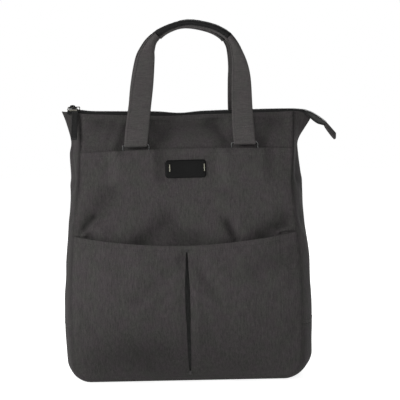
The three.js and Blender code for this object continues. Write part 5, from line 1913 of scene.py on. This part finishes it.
def inflate(piece):
    """Swells a pad with the cloth simulation, and caps how far each point moves."""
    scene = bpy.context.scene
    bpy.context.view_layer.objects.active = piece
    remesh = piece.modifiers.new("Remesh", "REMESH")
    remesh.mode = "VOXEL"
    remesh.voxel_size = PAD_VOXEL
    bpy.ops.object.modifier_apply(modifier=remesh.name)
    start = np.array([v.co for v in piece.data.vertices])
    sim = piece.modifiers.new("Cloth", "CLOTH")
    sim.settings.use_pressure = True
    sim.settings.uniform_pressure_force = PAD_PRESSURE
    sim.settings.effector_weights.gravity = 0
    sim.point_cache.frame_start = 1
    sim.point_cache.frame_end = SIM_FRAMES
    for number in range(1, SIM_FRAMES + 1):
        scene.frame_set(number)
    bpy.ops.object.modifier_apply(modifier=sim.name)
    end = np.array([v.co for v in piece.data.vertices])
    scene.frame_set(1)
    move = end - start
    length = np.linalg.norm(move, axis=1, keepdims=True)
    cap = PAD_CAP * MM
    capped = start + move * np.minimum(1, cap / np.maximum(length, 1e-9))
    piece.data.vertices.foreach_set("co", capped.ravel())
    soften = piece.modifiers.new("Subdivision", "SUBSURF")
    soften.levels = 1
    bpy.ops.object.modifier_apply(modifier=soften.name)
    piece.data.polygons.foreach_set("use_smooth", [True] * len(piece.data.polygons))


STRAP_WEBBING_LAP = 0.35
STRAP_WEBBING_WIDTH = 0.52
STRAP_WEBBING_ROWS = 40


def shoulder_strap(side, word):
    """A padded strap, with plain webbing on from its pad down to its foot."""
    name = f"shoulder_strap_{word}"
    pad = loft(f"{name}_pad", pad_sections(side), FABRIC, [name])
    inflate(pad)
    at = np.linspace(STRAP_PAD_END - STRAP_WEBBING_LAP, STRAP["index"][-1], STRAP_WEBBING_ROWS)
    centre, width_way, thick_way, width, _ = strap_line(side, at)
    narrow = np.minimum(width, STRAP_WIDTH * STRAP_WEBBING_WIDTH)
    thin = np.full(STRAP_WEBBING_ROWS, WEBBING)
    sections = band_sections(centre, width_way, thick_way, narrow, thin)
    loft(f"{name}_webbing", sections, WEBBING_CLOTH)


# Materials

def new_material(name):
    """A material with its node tree and its main shader."""
    material = bpy.data.materials.new(name)
    material.use_nodes = True
    return material, material.node_tree, material.node_tree.nodes["Principled BSDF"]


def set_inputs(node, values):
    for key, value in values.items():
        node.inputs[key].default_value = value


def noise_at(tree, scale, detail=2, roughness=0.5, stretch=(1, 1, 1)):
    """Noise on the piece's own coordinates, stretched along the axes."""
    place = tree.nodes.new("ShaderNodeTexCoord")
    mapping = tree.nodes.new("ShaderNodeMapping")
    noise = tree.nodes.new("ShaderNodeTexNoise")
    set_inputs(mapping, {"Scale": stretch})
    set_inputs(noise, {"Scale": scale, "Detail": detail, "Roughness": roughness})
    tree.links.new(place.outputs["Object"], mapping.inputs["Vector"])
    tree.links.new(mapping.outputs["Vector"], noise.inputs["Vector"])
    return noise.outputs["Fac"]


def ramp(tree, value, stops):
    """A colour ramp through its two (place, colour) stops."""
    node = tree.nodes.new("ShaderNodeValToRGB")
    for element, (place, colour) in zip(node.color_ramp.elements, stops):
        element.position = place
        element.color = (*colour, 1)
    tree.links.new(value, node.inputs["Fac"])
    return node.outputs["Color"]


# Where a Mix node for colours has its factor, its two colours and its result
MIX_FACTOR = 0
MIX_FIRST = 6
MIX_SECOND = 7
MIX_RESULT = 2


def multiply(tree, a, b):
    """The product of two colours."""
    node = tree.nodes.new("ShaderNodeMix")
    node.data_type = "RGBA"
    node.blend_type = "MULTIPLY"
    node.inputs[MIX_FACTOR].default_value = 1
    tree.links.new(a, node.inputs[MIX_FIRST])
    tree.links.new(b, node.inputs[MIX_SECOND])
    return node.outputs[MIX_RESULT]


def bump(tree, shader, value, strength, distance):
    node = tree.nodes.new("ShaderNodeBump")
    set_inputs(node, {"Strength": strength, "Distance": distance})
    tree.links.new(value, node.inputs["Height"])
    tree.links.new(node.outputs["Normal"], shader.inputs["Normal"])


# The yarns' noises: how fine they are, and how they stretch along X, Y and Z
STREAK_SCALE = 520
STREAK_STRETCH = (1, 1, 0.16)
RIB_STRETCH = (0.16, 1, 1.3)
FLECK_SCALE = 1100
FLECK_STRETCH = (1, 1, 0.4)
TINT_SCALE = 55
WEAVE_SCALE = 1500
WEAVE_STRENGTH = 0.35
WEAVE_DISTANCE = 0.0006
FLECK_STOPS = ((0.3, (0.8, 0.8, 0.8)), (0.72, (1.2, 1.2, 1.2)))
# SHADE_STOPS: how far the painted shade darkens the cloth, from none to its darkest.
SHADE_STOPS = ((0, (1, 1, 1)), (1, (0.35, 0.35, 0.35)))
CLOTH_FINISH = {"Roughness": 0.92, "Sheen Weight": 0.02, "Sheen Roughness": 0.5, "Specular IOR Level": 0.15}


def melange(name, dark, light, warm, cool, stretch=STREAK_STRETCH):
    """Grey cloth of mixed yarns: short streaks, fine flecks, a hint of two tints, and painted shade per
    point.
    """
    material, tree, shader = new_material(name)
    streaks = noise_at(tree, STREAK_SCALE, detail=4, roughness=0.65, stretch=stretch)
    flecks = noise_at(tree, FLECK_SCALE, roughness=0.6, stretch=FLECK_STRETCH)
    folds = tree.nodes.new("ShaderNodeAttribute")
    folds.attribute_name = "shade"
    colour = ramp(tree, streaks, ((0.32, dark), (0.68, light)))
    colour = multiply(tree, colour, ramp(tree, flecks, FLECK_STOPS))
    colour = multiply(tree, colour, ramp(tree, noise_at(tree, TINT_SCALE), ((0.35, warm), (0.65, cool))))
    # Painted shade from the points' shade attribute.
    colour = multiply(tree, colour, ramp(tree, folds.outputs["Fac"], SHADE_STOPS))
    tree.links.new(colour, shader.inputs["Base Color"])
    set_inputs(shader, CLOTH_FINISH)
    weave = noise_at(tree, WEAVE_SCALE, detail=1, stretch=FLECK_STRETCH)
    bump(tree, shader, weave, WEAVE_STRENGTH, WEAVE_DISTANCE)
    return material


MOTTLE_SCALE = 300
MOTTLE_LOW = 0.85
MOTTLE_HIGH = 1.15


def plain(name, colour, roughness, metallic=0, grain=None, specular=0.4):
    """A slightly mottled colour, with grain as (scale, strength, distance) of a fine bump."""
    material, tree, shader = new_material(name)
    set_inputs(shader, {"Roughness": roughness, "Metallic": metallic, "Specular IOR Level": specular})
    low = tuple(MOTTLE_LOW * c for c in colour)
    high = tuple(MOTTLE_HIGH * c for c in colour)
    mottled = ramp(tree, noise_at(tree, MOTTLE_SCALE), ((0.3, low), (0.7, high)))
    tree.links.new(mottled, shader.inputs["Base Color"])
    if grain:
        scale, strength, distance = grain
        bump(tree, shader, noise_at(tree, scale, detail=3, roughness=0.6), strength, distance)
    return material


HIDE_GRAIN = (900, 0.3, 0.0006)
TAPE_GRAIN = (1400, 0.3, 0.0004)

FABRIC = melange(
    "grey_melange",
    dark=(0.0285, 0.0268, 0.0271), light=(0.0465, 0.044, 0.0438),
    warm=(1.04, 0.97, 1.01), cool=(0.98, 1.01, 0.95),
)
# A darker copy of the grey cloth: painted shade for the pleat behind the slit.
FABRIC_PAINTED_SHADE = melange(
    "grey_melange_painted_shade",
    dark=(0.017, 0.017, 0.017), light=(0.028, 0.028, 0.027),
    warm=(1.0, 0.98, 0.99), cool=(0.98, 1.0, 0.97),
)
WEBBING_CLOTH = melange(
    "grey_webbing",
    dark=(0.039, 0.037, 0.037), light=(0.057, 0.054, 0.053),
    warm=(1.03, 0.98, 1.0), cool=(0.98, 1.0, 0.97), stretch=RIB_STRETCH,
)
ZIP_TAIL_CLOTH = melange(
    "zip_tail_tape",
    dark=(0.04, 0.04, 0.039), light=(0.052, 0.052, 0.05),
    warm=(1, 1, 1), cool=(1, 1, 1),
)
THREAD = plain("grey_thread", (0.036, 0.034, 0.034), 0.8)
THREAD_LIGHT = plain("light_thread", (0.095, 0.092, 0.088), 0.8)
THREAD_DARK = plain("black_thread", (0.012, 0.012, 0.012), 0.7, specular=0.2)
LEATHER = plain("black_leather", (0.003, 0.003, 0.003), 0.6, grain=HIDE_GRAIN, specular=0.11)
GRIP_HIDE = plain("grip_leather", (0.0055, 0.0055, 0.0055), 0.6, grain=HIDE_GRAIN, specular=0.14)
PULLER_LEATHER = plain("worn_leather", (0.009, 0.009, 0.009), 0.55, grain=HIDE_GRAIN, specular=0.2)
ZIP_CLOTH = plain("zip_tape", (0.008, 0.008, 0.008), 0.9, grain=TAPE_GRAIN, specular=0.2)
ZIP_TEETH = plain("zip_teeth", (0.009, 0.009, 0.009), 0.6, specular=0.15)
METAL = plain("polished_metal", (0.12, 0.115, 0.105), 0.34, metallic=1)
BAR_METAL = plain("satin_metal", (0.2, 0.195, 0.155), 0.42, metallic=1)
CLASP_METAL = plain("clasp_metal", (0.12, 0.115, 0.1), 0.5, metallic=1)
RING_METAL = plain("gunmetal", (0.05, 0.05, 0.05), 0.24, metallic=1)
DARK_METAL = plain("dark_metal", (0.03, 0.03, 0.03), 0.4, metallic=1)


# Stage, lights and camera

CAMERA_DISTANCE = 2200
CAMERA_ELEVATION = math.radians(3)
CAMERA_AZIMUTH = math.radians(2)
CAMERA_ROLL = math.radians(1.5)
CAMERA_TARGET = (21, 0, 269)
CAMERA_REACH = 50
FIELD_WIDTH = 610
SENSOR = 36


def camera():
    data = bpy.data.cameras.new("camera")
    data.sensor_width = SENSOR
    data.lens = SENSOR * CAMERA_DISTANCE / FIELD_WIDTH
    data.clip_end = CAMERA_REACH
    eye = add_object("camera", data)
    away = Vector((
        math.sin(CAMERA_AZIMUTH) * math.cos(CAMERA_ELEVATION),
        -math.cos(CAMERA_AZIMUTH) * math.cos(CAMERA_ELEVATION),
        math.sin(CAMERA_ELEVATION),
    ))
    right = Vector((0, 0, 1)).cross(away).normalized()
    up = away.cross(right)
    rolled_right = right * math.cos(CAMERA_ROLL) - up * math.sin(CAMERA_ROLL)
    rolled_up = right * math.sin(CAMERA_ROLL) + up * math.cos(CAMERA_ROLL)
    place = (Vector(CAMERA_TARGET) + away * CAMERA_DISTANCE) * MM
    turn = Matrix((rolled_right, rolled_up, away)).transposed().to_4x4()
    eye.matrix_world = Matrix.Translation(place) @ turn
    bpy.context.scene.camera = eye


# Square lights, in metres and watts: name, place, the height that they aim at, edge length and power
LIGHTS = (
    ("key", (-2.2, -1.1, 1.2), 0.25, 1.7, 53),
    ("fill", (0.2, -2.7, 0.9), 0.25, 1.2, 22),
    ("top", (0.2, 0.8, 2.6), 0.2, 1.4, 14),
    ("back", (0.4, 2.7, 1.4), 0.25, 1.6, 38),
)


def lights():
    for name, place, aim, size, power in LIGHTS:
        data = bpy.data.lights.new(name, "AREA")
        data.shape = "SQUARE"
        data.size = size
        data.energy = power
        lamp = add_object(name, data)
        lamp.location = place
        lamp.rotation_euler = (Vector((0, 0, aim)) - Vector(place)).to_track_quat("-Z", "Y").to_euler()


FLOOR_HALF = 9
FLOOR_COLOUR = 0.5
FLOOR_ROUGHNESS = 0.9
FLOOR_GLOW = 0.85
AMBIENT = 0.3
WHITE = (1, 1, 1, 1)


def stage():
    """A pale floor that glows a little, so that no horizon shows behind the bag."""
    mesh = bpy.data.meshes.new("floor")
    corners = [(x * FLOOR_HALF, y * FLOOR_HALF, 0) for x, y in ((-1, -1), (1, -1), (1, 1), (-1, 1))]
    mesh.from_pydata(corners, [], [[0, 1, 2, 3]])
    floor = add_object("floor", mesh)
    material, _, shader = new_material("floor")
    set_inputs(shader, {
        "Base Color": (FLOOR_COLOUR, FLOOR_COLOUR, FLOOR_COLOUR, 1),
        "Roughness": FLOOR_ROUGHNESS,
        "Emission Color": WHITE,
        "Emission Strength": FLOOR_GLOW,
    })
    mesh.materials.append(material)


def world():
    """A white studio, which lights the bag less than it shines behind it."""
    studio = bpy.data.worlds.new("world")
    studio.use_nodes = True
    nodes, links = studio.node_tree.nodes, studio.node_tree.links
    ambient = nodes["Background"]
    set_inputs(ambient, {"Color": WHITE, "Strength": AMBIENT})
    behind = nodes.new("ShaderNodeBackground")
    set_inputs(behind, {"Color": WHITE})
    seen = nodes.new("ShaderNodeLightPath")
    mixed = nodes.new("ShaderNodeMixShader")
    links.new(seen.outputs["Is Camera Ray"], mixed.inputs["Fac"])
    links.new(ambient.outputs["Background"], mixed.inputs[1])
    links.new(behind.outputs["Background"], mixed.inputs[2])
    links.new(mixed.outputs["Shader"], nodes["World Output"].inputs["Surface"])
    bpy.context.scene.world = studio


camera()
stage()
world()
lights()
bpy.context.scene.view_settings.view_transform = "Standard"

front_panel()
back_panel()
upper_pocket()
lower_pocket()
bar_tack()
pleat_underlay()
side_gusset(-1, "left")
side_gusset(1, "right")
base_strip()
patch()
handle("front", -1)
handle("rear", 1)
zip_tapes()
zip_chain()
zip_slider()
zip_pull()
zip_tail()
zip_end_tab()
shoulder_strap(1, "left")
shoulder_strap(-1, "right")
